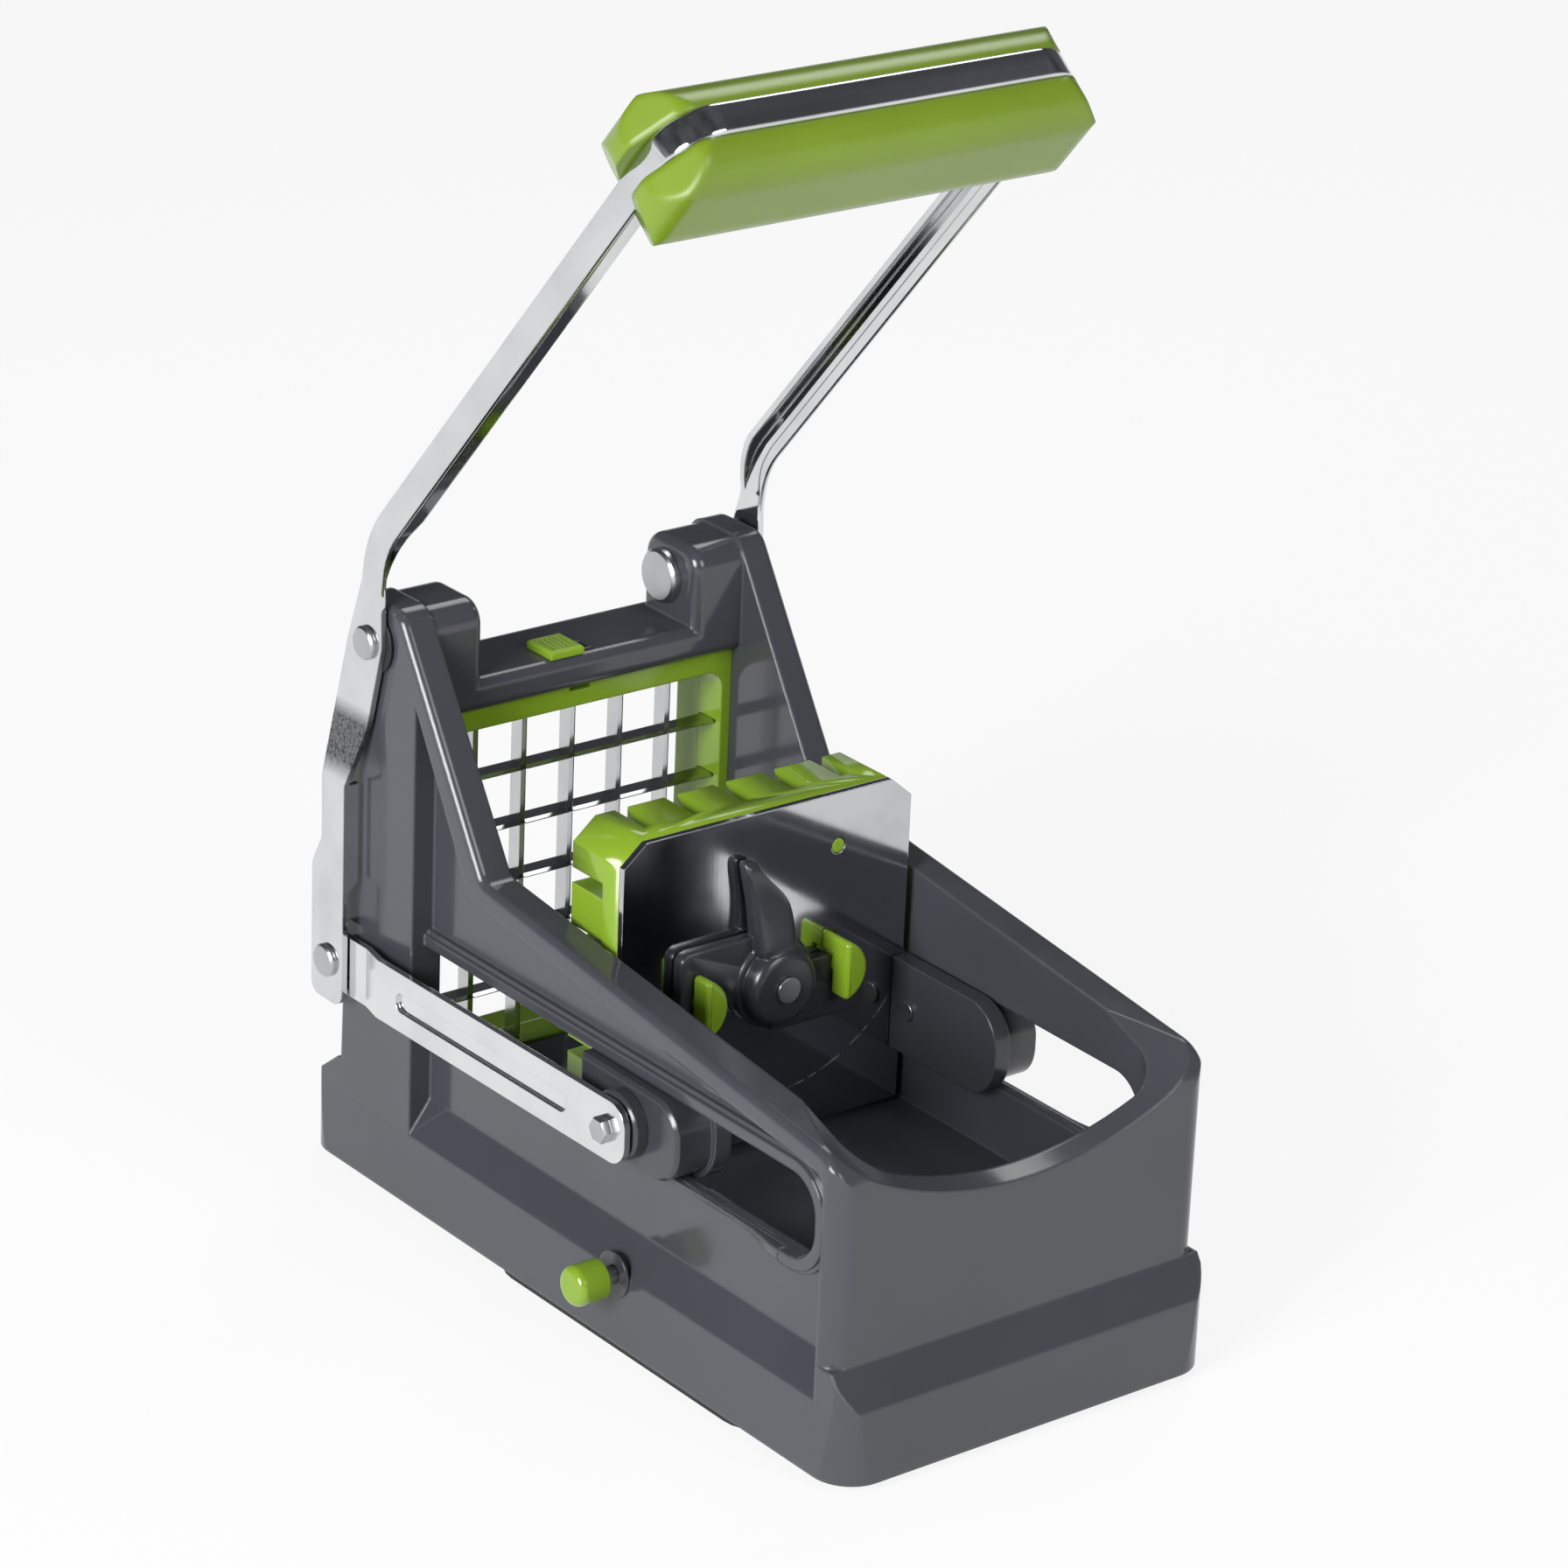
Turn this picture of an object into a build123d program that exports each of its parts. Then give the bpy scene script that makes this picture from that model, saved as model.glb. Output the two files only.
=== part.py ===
"""Lever vegetable chopper on a suction base.

A hand lever turns on two tower bosses. Its feet pull two links, the links pull a toothed pusher
along the trough, and the pusher forces a potato through a square grid of blades.
Millimetres. Origin on the standing surface under the middle of the base, +Z up, +Y to the blades.
"""

import os
from math import atan2, cos, hypot, pi, radians, sin

from build123d import *

# Plinth
base_width = 98.0
base_length = 191.4
base_corner = 9.0
rim_lift = 2.2
plinth_height = 15.8
plinth_draft = 1.0
shoulder_height = 8.0
front_setback = 6.2
rear_setback = 11.2
plinth_edge_round = 3.0
upper_corner = 5.0
cavity_height = 19.8
cavity_side_wall = 7.0
cavity_end_wall = 9.5

# Trough, rails and front wall
rail_width = 9.0
floor_height = 28.0
front_wall = 4.6
front_dip = 15.0
dip_rise = 0.35
trough_corner = 8.0
trough_flare = 1.8
rail_front_height = 71.0
rail_rear_height = 86.0
rail_front_round = 9.0
rail_edge_round = 1.8
knee_back = 52.5
knee_round = 3.5

# Towers, bosses and cross bar
tower_rise = 9.0
tower_ahead = 8.5
tower_behind = 9.0
tower_round = 5.5
boss_width = 11.2
boss_edge_round = 2.4
boss_drop = 0.6
pivot_back = 12.5
pivot_rise = 9.4
bar_thickness = 7.5
bar_depth = 19.5
bar_back = 23.5
bar_edge_round = 2.6

# Side panels and slider slots
panel_depth = 5.5
panel_rim = 4.5
panel_corner = 4.0
panel_slope = 7.5
post_width = 5.0
pilaster_depth = 27.5
slot_bottom = 43.0
slot_height = 19.0
slot_back = 11.0
slot_corner = 8.0
bead_width = 3.4
bead_height = 2.2
bead_step = 0.9

# Blade grid and cassette
grid_cells = 6
grid_side_gap = 0.75
grid_floor_gap = 0.6
blade_thickness = 0.8
blade_depth = 5.0
blade_set = 1.9
blade_tuck = 1.4
blade_edge = 1.2
frame_wall = 3.05
frame_top_wall = 5.0
frame_back = 20.4
frame_front_depth = 7.9
frame_rear_depth = 8.0
frame_corner = 4.0

# Pusher
pusher_gap = 67.3
plate_thickness = 1.5
plate_margin = 0.75
plate_corner_x = 5.5
plate_corner_z = 4.6
head_slab = 5.7
tooth_length = 10.5
tooth_gap = 3.4
stud_share = 0.488
stud_head_radius = 7.0
stud_head_width = 5.8
stud_head_thickness = 4.5
stud_neck_radius = 2.7
peg_radius = 1.6
peg_share = 0.68

# Lock lever on the pusher plate
lock_thickness = 3.0
lock_hub_radius = 8.75
lock_hub_height = 7.8
lock_arm_reach = 6.0
lock_arm_drop = 11.5
lock_arm_corner = 2.6
lock_lip_rise = 2.5
lock_mouth_angle = 24.0
lock_fin_length = 28.5
lock_fin_width = 8.0
lock_fin_height = 6.6
lock_fin_tip = 4.2
lock_edge_round = 1.0
lock_rivet_radius = 2.0
lock_rivet_head = 2.9

# Sliders and spacers
slider_nose = 17.0
slider_reach = 4.4
slider_proud = 5.0
slider_play = 0.3
slider_flange = 1.3
slider_edge = 0.8
tab_height = 13.0
tab_nose_wall = 3.0
spacer_radius = 7.5
slider_rivet_radius = 1.6
slider_rivet_head = 2.2
slider_rivet_back = 6.0

# Linkage
crank_back = 9.0
crank_below_slot = 0.8
link_pin_ahead = 16.8
link_width = 13.5
link_corner = 5.0
link_thickness = 1.5
link_gap = 2.2
link_joggle = 1.4
link_joggle_start = 12.5
link_joggle_length = 6.0
link_groove_length = 62.0
link_groove_width = 4.5
link_groove_depth = 0.8
link_bolt_radius = 1.8
link_bolt_flats = 5.0
link_bolt_height = 2.0
link_bolt_tail = 0.4

# Lever bail
sheet = 1.5
washer_thickness = 0.8
washer_radius = 7.0
joggle_out = 3.2
joggle_drop = 19.2
joggle_length = 14.0
foot_half_width = 5.8
foot_tail = 9.3
foot_shoulder_share = 0.5
foot_waist_share = 0.66
foot_waist_top_share = 0.9
foot_waist = 3.5
foot_swell = 3.0
foot_corner = 3.0
foot_lip_share = 0.4
foot_lip_depth = 2.6
pivot_front_width = 5.4
pivot_rear_width = 6.6
elbow_rise = 23.0
arm_lean = 49.2
arm_length = 151.0
arm_root = 18.0
elbow_round = 24.0
foot_root = 6.0
foot_neck = 16.0
flange_start = 15.5
flange_full = 30.0
channel_width = 6.6
channel_depth = 5.0
channel_edge_round = 1.5
bail_corner = 11.0

# Pins and rivets of the lever
pin_radius = 4.0
pin_head_radius = 6.0
pin_head_thickness = 2.5
rivet_neck_radius = 2.6
rivet_head_radius = 3.7
rivet_head_height = 1.2
rivet_inner_head = 1.1

# Grip
grip_overhang = 3.65
grip_top_inset_x = 4.35
grip_height = 28.5
grip_thickness = 24.0
grip_round = 8.5
grip_end_round = 6.0
grip_side_round = 5.0
grip_shoulder = 11.0
grip_land = 5.5
grip_top_inset = 0.8
grip_scallop_radius = 46.0
grip_scallop_depth = 2.2
grip_scallop_share = 0.587
grip_screw_radius = 1.5
grip_screw_head = 3.2
grip_screw_share = 0.61
grip_screw_drop = 17.0

# Latch button
latch_x = -5.2
latch_back = 5.6
latch_width = 8.6
latch_length = 9.2
latch_height = 1.9
latch_ribs = 5
latch_stem_width = 5.0
latch_stem_depth = 3.5
latch_stem_back = 0.3
latch_travel = 5.0
latch_reach = 1.2

# Suction pad and release rod
pad_side_gap = 1.5
pad_length = 92.5
pad_corner = 9.0
pad_thickness = 2.0
pad_edge = 0.9
pad_y = -18.5
base_plate_thickness = 2.0
base_plate_lift = 2.4
stud_radius = 3.0
stud_flange_radius = 9.0
stud_flange = 0.9
stud_top = 21.0
nut_flats = 10.0
nut_height = 4.6
rod_radius = 2.0
rod_height = 17.5
rod_end_gap = 6.0
rod_travel = 3.0
cap_radius = 4.4
cap_length = 7.5
cap_round = 1.8
cap_gap = 0.5
cap_socket = 4.5
bush_radius = 3.6
bush_flange_radius = 5.0
bush_flange = 0.7
bush_length = 6.5
guide_share = 0.537
guide_thickness = 2.5
guide_width = 12.0
clip_radius = 3.6
clip_thickness = 1.0
spring_length = 12.0
spring_wire = 0.8
spring_turns = 6
base_screw_radius = 1.4
base_screw_head = 3.0
base_screw_head_height = 1.2
base_post_radius = 4.0
base_post_inset = 7.0

# Clearances
running_gap = 0.05
seat_gap = 0.1
side_gap = 0.2
slide_gap = 0.3

# Worked-out places
plinth_top = rim_lift + plinth_height
shoulder_top = plinth_top + shoulder_height
body_half = base_width / 2 - plinth_draft
front_face_y = front_setback - base_length / 2
rear_face_y = base_length / 2 - rear_setback
trough_half = body_half - rail_width
panel_half = body_half - panel_depth
cavity_top = rim_lift + cavity_height
cavity_half = body_half - cavity_side_wall
cavity_front_y = cavity_end_wall - base_length / 2
cavity_rear_y = rear_face_y - front_wall
grid_half = trough_half - grid_side_gap
grid_pitch = 2 * grid_half / grid_cells
grid_centre_z = floor_height + grid_floor_gap + grid_half
frame_half = grid_half + frame_wall
frame_front_y = rear_face_y - frame_back
frame_split_y = frame_front_y + frame_front_depth
frame_rear_y = frame_split_y + frame_rear_depth
blade_front_y = frame_front_y + blade_set
bay_half = frame_half + side_gap
frame_top = grid_centre_z + grid_half + frame_top_wall
bar_bottom = frame_top + side_gap
bar_height = bar_bottom + bar_thickness
bar_front_y = rear_face_y - bar_back
bar_rear_y = bar_front_y + bar_depth
pivot_y = rear_face_y - pivot_back
pivot_height = bar_height + pivot_rise
tower_top = pivot_height + tower_rise
tower_nose_y = pivot_y - tower_ahead
tower_rear_y = pivot_y + tower_behind
boss_inner_x = trough_half - boss_width
knee_y = rear_face_y - knee_back
pilaster_front_y = rear_face_y - pilaster_depth
slot_front_y = front_face_y + slot_back
slot_middle = slot_bottom + slot_height / 2
plate_half = grid_half - plate_margin
plate_front_y = frame_front_y - pusher_gap
plate_rear_y = plate_front_y + plate_thickness
stud_spacing = 2 * plate_half * stud_share
peg_x = stud_spacing / 2
peg_rise = plate_half * peg_share
lock_arm_radius = stud_spacing / 2 + lock_arm_reach
link_pin_y = plate_front_y - link_pin_ahead
slider_half = slot_height / 2 - slider_play
slider_front_y = link_pin_y - slider_nose
slider_rear_y = plate_front_y - side_gap
slider_inner_x = trough_half - slider_reach
slider_outer_x = panel_half + slider_proud
link_inner_x = body_half + link_gap
link_front_x = link_inner_x + link_joggle
spacer_face_x = link_front_x - 2 * link_bolt_tail
crank_y = pivot_y + crank_back
crank_z = slot_middle - crank_below_slot
crank_drop = pivot_height - crank_z
joggle_top = pivot_height - joggle_drop
joggle_bottom = joggle_top - joggle_length
foot_inner_x = body_half + washer_thickness + running_gap
bail_half = foot_inner_x + sheet
low_foot_inner_x = foot_inner_x + joggle_out
low_foot_outer_x = low_foot_inner_x + sheet
foot_length = hypot(crank_back, crank_drop)
foot_dir = (-crank_back / foot_length, crank_drop / foot_length)
elbow_y = pivot_y + foot_dir[0] * elbow_rise
elbow_z = pivot_height + foot_dir[1] * elbow_rise
lean = radians(arm_lean)
arm_dir = (-cos(lean), sin(lean))
foot_across = (foot_dir[1], -foot_dir[0])
arm_across = (arm_dir[1], -arm_dir[0])
bail_plane = Plane(origin=(0, elbow_y, elbow_z), x_dir=(1, 0, 0), z_dir=(0, -sin(lean), -cos(lean)))
grip_half_length = bail_half + grip_overhang
grip_top_half_length = bail_half - grip_top_inset_x
grip_screw_x = grip_top_half_length * grip_screw_share
grip_scallop_pitch = grip_top_half_length * grip_scallop_share
latch_y = bar_front_y + latch_back
pad_width = base_width - 2 * pad_side_gap
cap_inner_x = -(body_half + bush_flange + rod_travel + cap_gap)
rod_tip_x = -(stud_radius + rod_end_gap)
guide_x = -cavity_half * guide_share
clip_x = guide_x - guide_thickness / 2 - spring_length


def outline(*points):
    """Close a run of corner points into a face."""
    return make_face(Polyline(*points, close=True))


def yz_prism(face, x_from, x_to):
    """Extrude a face drawn in (Y, Z) between two X planes."""
    return extrude(Plane.YZ.offset(x_from) * face, amount=x_to - x_from)


def xz_prism(face, y_from, y_to):
    """Extrude a face drawn in (X, Z) between two Y planes."""
    return extrude(Plane.XZ.offset(-y_to) * face, amount=y_to - y_from)


def xy_prism(face, z_from, z_to):
    """Extrude a face drawn in (X, Y) between two Z planes."""
    return extrude(Plane.XY.offset(z_from) * face, amount=z_to - z_from)


def x_rod(radius, x_from, x_to, y, z):
    """Make a round bar along X."""
    return yz_prism(Pos(y, z) * Circle(radius), x_from, x_to)


def y_rod(radius, y_from, y_to, x, z):
    """Make a round bar along Y."""
    return xz_prism(Pos(x, z) * Circle(radius), y_from, y_to)


def z_rod(radius, z_from, z_to, x, y):
    """Make a round bar along Z."""
    return xy_prism(Pos(x, y) * Circle(radius), z_from, z_to)


def block(x_range, y_range, z_range):
    """Make a box from three pairs of limits."""
    size = [high - low for low, high in (x_range, y_range, z_range)]
    middle = [(high + low) / 2 for low, high in (x_range, y_range, z_range)]
    return Pos(*middle) * Box(*size)


def other_side(shape):
    """Mirror a shape to the other side of the middle plane."""
    return mirror(shape, about=Plane.YZ)


def both_sides(shape):
    """Return a shape with its mirror image."""
    return shape + other_side(shape)


def rivet_head(radius, height, x_from, y, z):
    """Make a low rivet head with a bevelled rim that stands out along +X."""
    head = x_rod(radius, x_from, x_from + height, y, z)
    return chamfer(head.edges().sort_by(Axis.X)[-1], height * 0.4)


# Body moulding


def rounded(face, place, radius):
    """Round the corner of a face that lies nearest to a place."""
    return fillet(face.vertices().sort_by_distance(place)[0], radius)


def side_face():
    """Draw the side view of the body above the shoulder."""
    face = outline(
        (front_face_y, shoulder_top),
        (front_face_y, rail_front_height),
        (knee_y, rail_rear_height),
        (tower_nose_y, tower_top),
        (tower_rear_y, tower_top),
        (rear_face_y, shoulder_top),
    )
    face = rounded(face, (front_face_y, rail_front_height), rail_front_round)
    face = rounded(face, (knee_y, rail_rear_height), knee_round)
    face = rounded(face, (tower_nose_y, tower_top), tower_round)
    return rounded(face, (tower_rear_y, tower_top), tower_round)


def footprint(width, front_y, rear_y, corner):
    """Draw a rounded rectangle between two Y limits."""
    return Pos(0, (front_y + rear_y) / 2) * RectangleRounded(width, rear_y - front_y, corner)


def panel_face():
    """Draw the sunk side panel between the front post, rail, tower edge and pilaster."""
    edge_angle = atan2(tower_top - rail_rear_height, tower_nose_y - knee_y)
    rail_slope = (rail_rear_height - rail_front_height) / (knee_y - front_face_y)
    panel_front_y = front_face_y + post_width
    rail_drop = panel_rim * hypot(1, rail_slope)
    front_top = rail_front_height + rail_slope * post_width - rail_drop
    knee_top = rail_rear_height - rail_drop
    edge_shift = panel_rim / sin(edge_angle)
    knee_edge_y = knee_y + edge_shift
    apex_z = rail_rear_height + (pilaster_front_y - knee_edge_y) * sin(edge_angle) / cos(edge_angle)
    face = outline(
        (panel_front_y, plinth_top + panel_slope),
        (panel_front_y, front_top),
        (knee_edge_y - edge_shift * 0.2, knee_top),
        (pilaster_front_y, apex_z),
        (pilaster_front_y, plinth_top + panel_slope),
    )
    corner = face.vertices().sort_by_distance((panel_front_y, front_top))[0]
    return fillet(corner, panel_corner)


def slot_face(grow):
    """Draw the slider slot, grown by a margin, out to the pilaster."""
    front = slot_front_y - grow
    low = slot_bottom - grow
    high = slot_bottom + slot_height + grow
    face = outline((front, low), (pilaster_front_y, low), (pilaster_front_y, high), (front, high))
    return fillet(face.vertices().group_by(Axis.X)[0], slot_corner + grow)


def make_plinth():
    """Cross the side view, the front view and the rounded plan of the plinth and its shoulder."""
    rim_end = base_length / 2
    top_end = rim_end - plinth_draft
    side = outline(
        (-rim_end, rim_lift),
        (-top_end, plinth_top),
        (front_face_y, shoulder_top),
        (rear_face_y, shoulder_top),
        (top_end, plinth_top),
        (rim_end, rim_lift),
    )
    edges = side.vertices().filter_by_position(Axis.Y, plinth_top - 1, plinth_top + 1)
    side = fillet(edges, plinth_edge_round)
    front = outline(
        (-base_width / 2, rim_lift),
        (-body_half, plinth_top),
        (-body_half, shoulder_top),
        (body_half, shoulder_top),
        (body_half, plinth_top),
        (base_width / 2, rim_lift),
    )
    plan = footprint(base_width, -rim_end, rim_end, base_corner)
    plinth = yz_prism(side, -base_width / 2, base_width / 2)
    plinth &= xz_prism(front, -rim_end, rim_end)
    return plinth & xy_prism(plan, rim_lift, shoulder_top)


def bead_face(grow):
    """Draw the bead over the slot and round its front end, clipped to the panel."""
    bead = slot_face(grow) & panel_face()
    under_y = slot_front_y + slot_corner + bead_width
    under = outline(
        (under_y, shoulder_top),
        (pilaster_front_y, shoulder_top),
        (pilaster_front_y, slot_bottom),
        (under_y, slot_bottom),
    )
    return bead - under


def make_body():
    """Mould the plinth, trough, rails, towers, bosses and cross bar in one piece."""
    plan_up = footprint(2 * body_half, front_face_y, rear_face_y + upper_corner, upper_corner)
    plinth = make_plinth()
    upper = yz_prism(side_face(), -body_half, body_half)
    sides = upper.faces().sort_by(Axis.X)
    rim = [e for e in sides[0].edges() + sides[-1].edges() if e.center().Z > shoulder_top + 1]
    rim = [e for e in rim if e.center().Y > front_face_y + 1]
    upper = fillet(rim, rail_edge_round)
    upper &= xy_prism(plan_up, shoulder_top, tower_top)
    body = plinth + upper

    # Sunk side panels with a sloping sill at the plinth
    sill = outline(
        (body_half, plinth_top),
        (panel_half, plinth_top + panel_slope),
        (body_half + plinth_draft, plinth_top + panel_slope),
        (body_half + plinth_draft, plinth_top),
    )
    panel_cut = yz_prism(panel_face(), panel_half, body_half + plinth_draft)
    panel_cut += xz_prism(sill, front_face_y + post_width, pilaster_front_y)
    body -= both_sides(panel_cut)

    # Raised bead over each slot, stepped towards a round back
    low_bead = yz_prism(bead_face(bead_width), panel_half, panel_half + bead_height - bead_step)
    high_bead = yz_prism(bead_face(bead_width - bead_step), panel_half, panel_half + bead_height)
    body += both_sides(low_bead + high_bead)

    # Trough, open and a little wider at the rear
    trough_front_y = front_face_y + front_wall
    trough_rear_half = trough_half + trough_flare
    trough = outline(
        (-trough_half, trough_front_y),
        (trough_half, trough_front_y),
        (trough_rear_half, rear_face_y),
        (-trough_rear_half, rear_face_y),
    )
    trough = fillet(trough.vertices().group_by(Axis.Y)[0], trough_corner)
    body -= xy_prism(trough, floor_height, tower_top)

    # Dip in the front wall, which runs out backwards on the rails
    dip_radius = (body_half**2 + front_dip**2) / (2 * front_dip)
    dip_middle = rail_front_height - front_dip + dip_radius
    dip_face = Plane.XZ.offset(-front_face_y) * (Pos(0, dip_middle) * Circle(dip_radius))
    body -= extrude(dip_face, amount=2 * front_dip, dir=(0, 1, dip_rise))

    # Cross bar with rounded front edges, and the pivot bosses flush with it
    bar = outline(
        (bar_front_y, bar_bottom),
        (bar_front_y, bar_height),
        (bar_rear_y, bar_height),
        (bar_rear_y, bar_bottom),
    )
    bar = fillet(bar.vertices().group_by(Axis.X)[0], bar_edge_round)
    body += yz_prism(bar, -trough_rear_half, trough_rear_half)
    bar_middle = bar_bottom + bar_thickness / 2
    boss_top = tower_top - boss_drop
    boss_rear_y = tower_rear_y - boss_drop
    boss_face = outline(
        (bar_front_y, bar_middle),
        (bar_front_y, boss_top),
        (boss_rear_y, boss_top),
        (boss_rear_y, bar_middle),
    )
    boss_face = fillet(boss_face.vertices().group_by(Axis.Y)[-1], tower_round)
    boss = yz_prism(boss_face, boss_inner_x, trough_rear_half)
    inner_rim = [e for e in boss.faces().sort_by(Axis.X)[0].edges() if e.center().Z > bar_middle + 1]
    body += both_sides(fillet(inner_rim, boss_edge_round))

    # Cassette bay, slider slots and pivot bores
    bay_front_y = frame_front_y - seat_gap
    body -= block(
        (-bay_half, bay_half), (bay_front_y, rear_face_y), (grid_centre_z - bay_half, bar_bottom)
    )
    body -= both_sides(
        yz_prism(slot_face(0), trough_half - rail_width, panel_half + bead_height)
    )
    body -= x_rod(pin_radius, -body_half, body_half, pivot_y, pivot_height)

    # Latch slot through the cross bar
    stem_y = latch_y + latch_stem_back
    body -= block(
        (
            latch_x - latch_stem_width / 2 - slide_gap,
            latch_x + latch_stem_width / 2 + latch_travel + slide_gap,
        ),
        (stem_y - latch_stem_depth / 2 - side_gap, stem_y + latch_stem_depth / 2 + side_gap),
        (bar_bottom, bar_height),
    )

    # Hollow underside with screw posts, and the release rod hole
    body -= block(
        (-cavity_half, cavity_half), (cavity_front_y, cavity_rear_y), (rim_lift, cavity_top)
    )
    for x, y in base_screw_places():
        body += z_rod(base_post_radius, base_plate_lift + base_plate_thickness, cavity_top, x, y)
        body -= z_rod(base_screw_radius, base_plate_lift, cavity_top - seat_gap, x, y)
    body -= x_rod(bush_radius, -base_width / 2, -cavity_half, pad_y, rod_height)
    body -= x_rod(bush_flange_radius, -base_width / 2, -body_half, pad_y, rod_height)
    return body


# Underside and suction pad


def base_screw_places():
    """List the four screw places of the base plate."""
    front_y = cavity_front_y + base_post_inset
    rear_y = cavity_rear_y - base_post_inset
    x = cavity_half - base_post_inset
    return [(-x, front_y), (x, front_y), (-x, rear_y), (x, rear_y)]


def base_screw(x, y):
    """Make one flush base screw."""
    head_top = base_plate_lift + base_screw_head_height
    head = z_rod(base_screw_head, base_plate_lift, head_top, x, y)
    return head + z_rod(base_screw_radius, head_top, cavity_top - 2 * side_gap, x, y)


def make_base_screws():
    """Make the four screws as one group."""
    return Compound(children=[base_screw(x, y) for x, y in base_screw_places()])


def make_base_plate():
    """Make the cover of the underside, with the guide tab of the release rod."""
    half = cavity_half - side_gap
    front_y = cavity_front_y + side_gap
    rear_y = cavity_rear_y - side_gap
    top = base_plate_lift + base_plate_thickness
    plate = block((-half, half), (front_y, rear_y), (base_plate_lift, top))
    guide_top = rod_height + rod_radius + guide_thickness / 2
    plate += block(
        (guide_x - guide_thickness / 2, guide_x + guide_thickness / 2),
        (pad_y - guide_width / 2, pad_y + guide_width / 2),
        (top, guide_top),
    )
    plate -= x_rod(
        rod_radius + running_gap, guide_x - guide_thickness, guide_x + guide_thickness, pad_y, rod_height
    )
    plate -= z_rod(stud_radius + running_gap, base_plate_lift, top, 0, pad_y)
    for x, y in base_screw_places():
        plate -= base_screw(x, y)
    return plate


def make_suction_pad():
    """Make the rubber pad: a flat rounded square with a bevelled lip and a seat for the stud."""
    pad = Pos(0, pad_y) * xy_prism(RectangleRounded(pad_width, pad_length, pad_corner), 0, pad_thickness)
    pad = chamfer(pad.faces().sort_by(Axis.Z)[-1].edges(), pad_edge)
    pad += z_rod(stud_flange_radius + pad_edge, pad_thickness, base_plate_lift, 0, pad_y)
    flange_low = pad_thickness - stud_flange
    pad -= z_rod(stud_flange_radius, flange_low, pad_thickness, 0, pad_y)
    pad -= z_rod(stud_radius + running_gap, pad_thickness, base_plate_lift, 0, pad_y)
    return pad


def make_suction_stud():
    """Make the steel stud that is moulded into the pad by its flange."""
    stud = z_rod(stud_flange_radius, pad_thickness - stud_flange, pad_thickness, 0, pad_y)
    return stud + z_rod(stud_radius, pad_thickness, stud_top, 0, pad_y)


def make_stud_nut():
    """Make the nut that draws the stud up to the base plate."""
    low = base_plate_lift + base_plate_thickness
    hexagon = RegularPolygon(nut_flats / 2, 6, major_radius=False)
    nut = xy_prism(Pos(0, pad_y) * hexagon, low, low + nut_height)
    return nut - z_rod(stud_radius + running_gap, low, low + nut_height, 0, pad_y)


def make_release_bush():
    """Make the flanged bush that guides the release rod through the plinth."""
    bush = x_rod(bush_flange_radius, -body_half - bush_flange, -body_half, pad_y, rod_height)
    bush += x_rod(bush_radius, -body_half, -body_half + bush_length, pad_y, rod_height)
    bore = x_rod(rod_radius + running_gap, -base_width, 0, pad_y, rod_height)
    return bush - bore


def make_release_rod():
    """Make the steel rod between the cap and the pad stud."""
    rod = x_rod(rod_radius, cap_inner_x - cap_socket, rod_tip_x, pad_y, rod_height)
    return chamfer(rod.edges().sort_by(Axis.X)[-1], rod_radius / 3)


def make_release_cap():
    """Make the round push cap on the rod."""
    cap = x_rod(cap_radius, cap_inner_x - cap_length, cap_inner_x, pad_y, rod_height)
    cap = fillet(cap.edges().sort_by(Axis.X)[0], cap_round)
    return cap - x_rod(rod_radius, cap_inner_x - cap_socket, cap_inner_x, pad_y, rod_height)


def make_release_clip():
    """Make the clip on the rod that the return spring bears on."""
    clip = x_rod(clip_radius, clip_x - clip_thickness, clip_x, pad_y, rod_height)
    return clip - x_rod(rod_radius, clip_x - clip_thickness, clip_x, pad_y, rod_height)


def make_release_spring():
    """Wind the return spring between the clip and the guide tab."""
    low = clip_x + spring_wire / 2 + running_gap
    high = guide_x - guide_thickness / 2 - spring_wire / 2 - running_gap
    radius = rod_radius + spring_wire
    step = pi / 2
    count = spring_turns * 4

    def turn_point(quarter):
        angle = quarter * step
        x = low + (high - low) * quarter / count
        return (x, pad_y + radius * cos(angle), rod_height + radius * sin(angle))

    arcs = [
        ThreePointArc(turn_point(n), turn_point(n + 0.5), turn_point(n + 1)) for n in range(count)
    ]
    path = Wire(arcs)
    start = Plane(origin=path @ 0, z_dir=path % 0)
    return sweep(start * RegularPolygon(spring_wire / 2, 4), path=path)


# Blade cassette


def frame_ring(y_from, y_to):
    """Make the square ring of the cassette between two Y planes."""
    low = grid_centre_z - frame_half
    outer = outline((-frame_half, low), (frame_half, low), (frame_half, frame_top), (-frame_half, frame_top))
    inner = Rectangle(2 * grid_half, 2 * grid_half)
    inner = Pos(0, grid_centre_z) * fillet(inner.vertices().group_by(Axis.Y)[-1], frame_corner)
    return xz_prism(outer - inner, y_from, y_to)


def grid_lines():
    """List the offsets of the blades from the grid's middle."""
    return [grid_pitch * (n + 1) - grid_half for n in range(grid_cells - 1)]


def make_blade_frame_front():
    """Make the front half of the cassette, slotted for the blade ends."""
    frame = frame_ring(frame_front_y, frame_split_y)
    reach = grid_half + blade_tuck + seat_gap
    slot_half = blade_thickness / 2 + running_gap
    slot_y = (blade_front_y - seat_gap, frame_split_y)
    for offset in grid_lines():
        z = grid_centre_z + offset
        frame -= block(
            (offset - slot_half, offset + slot_half), slot_y, (grid_centre_z - reach, grid_centre_z + reach)
        )
        frame -= block((-reach, reach), slot_y, (z - slot_half, z + slot_half))
    return frame - latch_notch()


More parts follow.
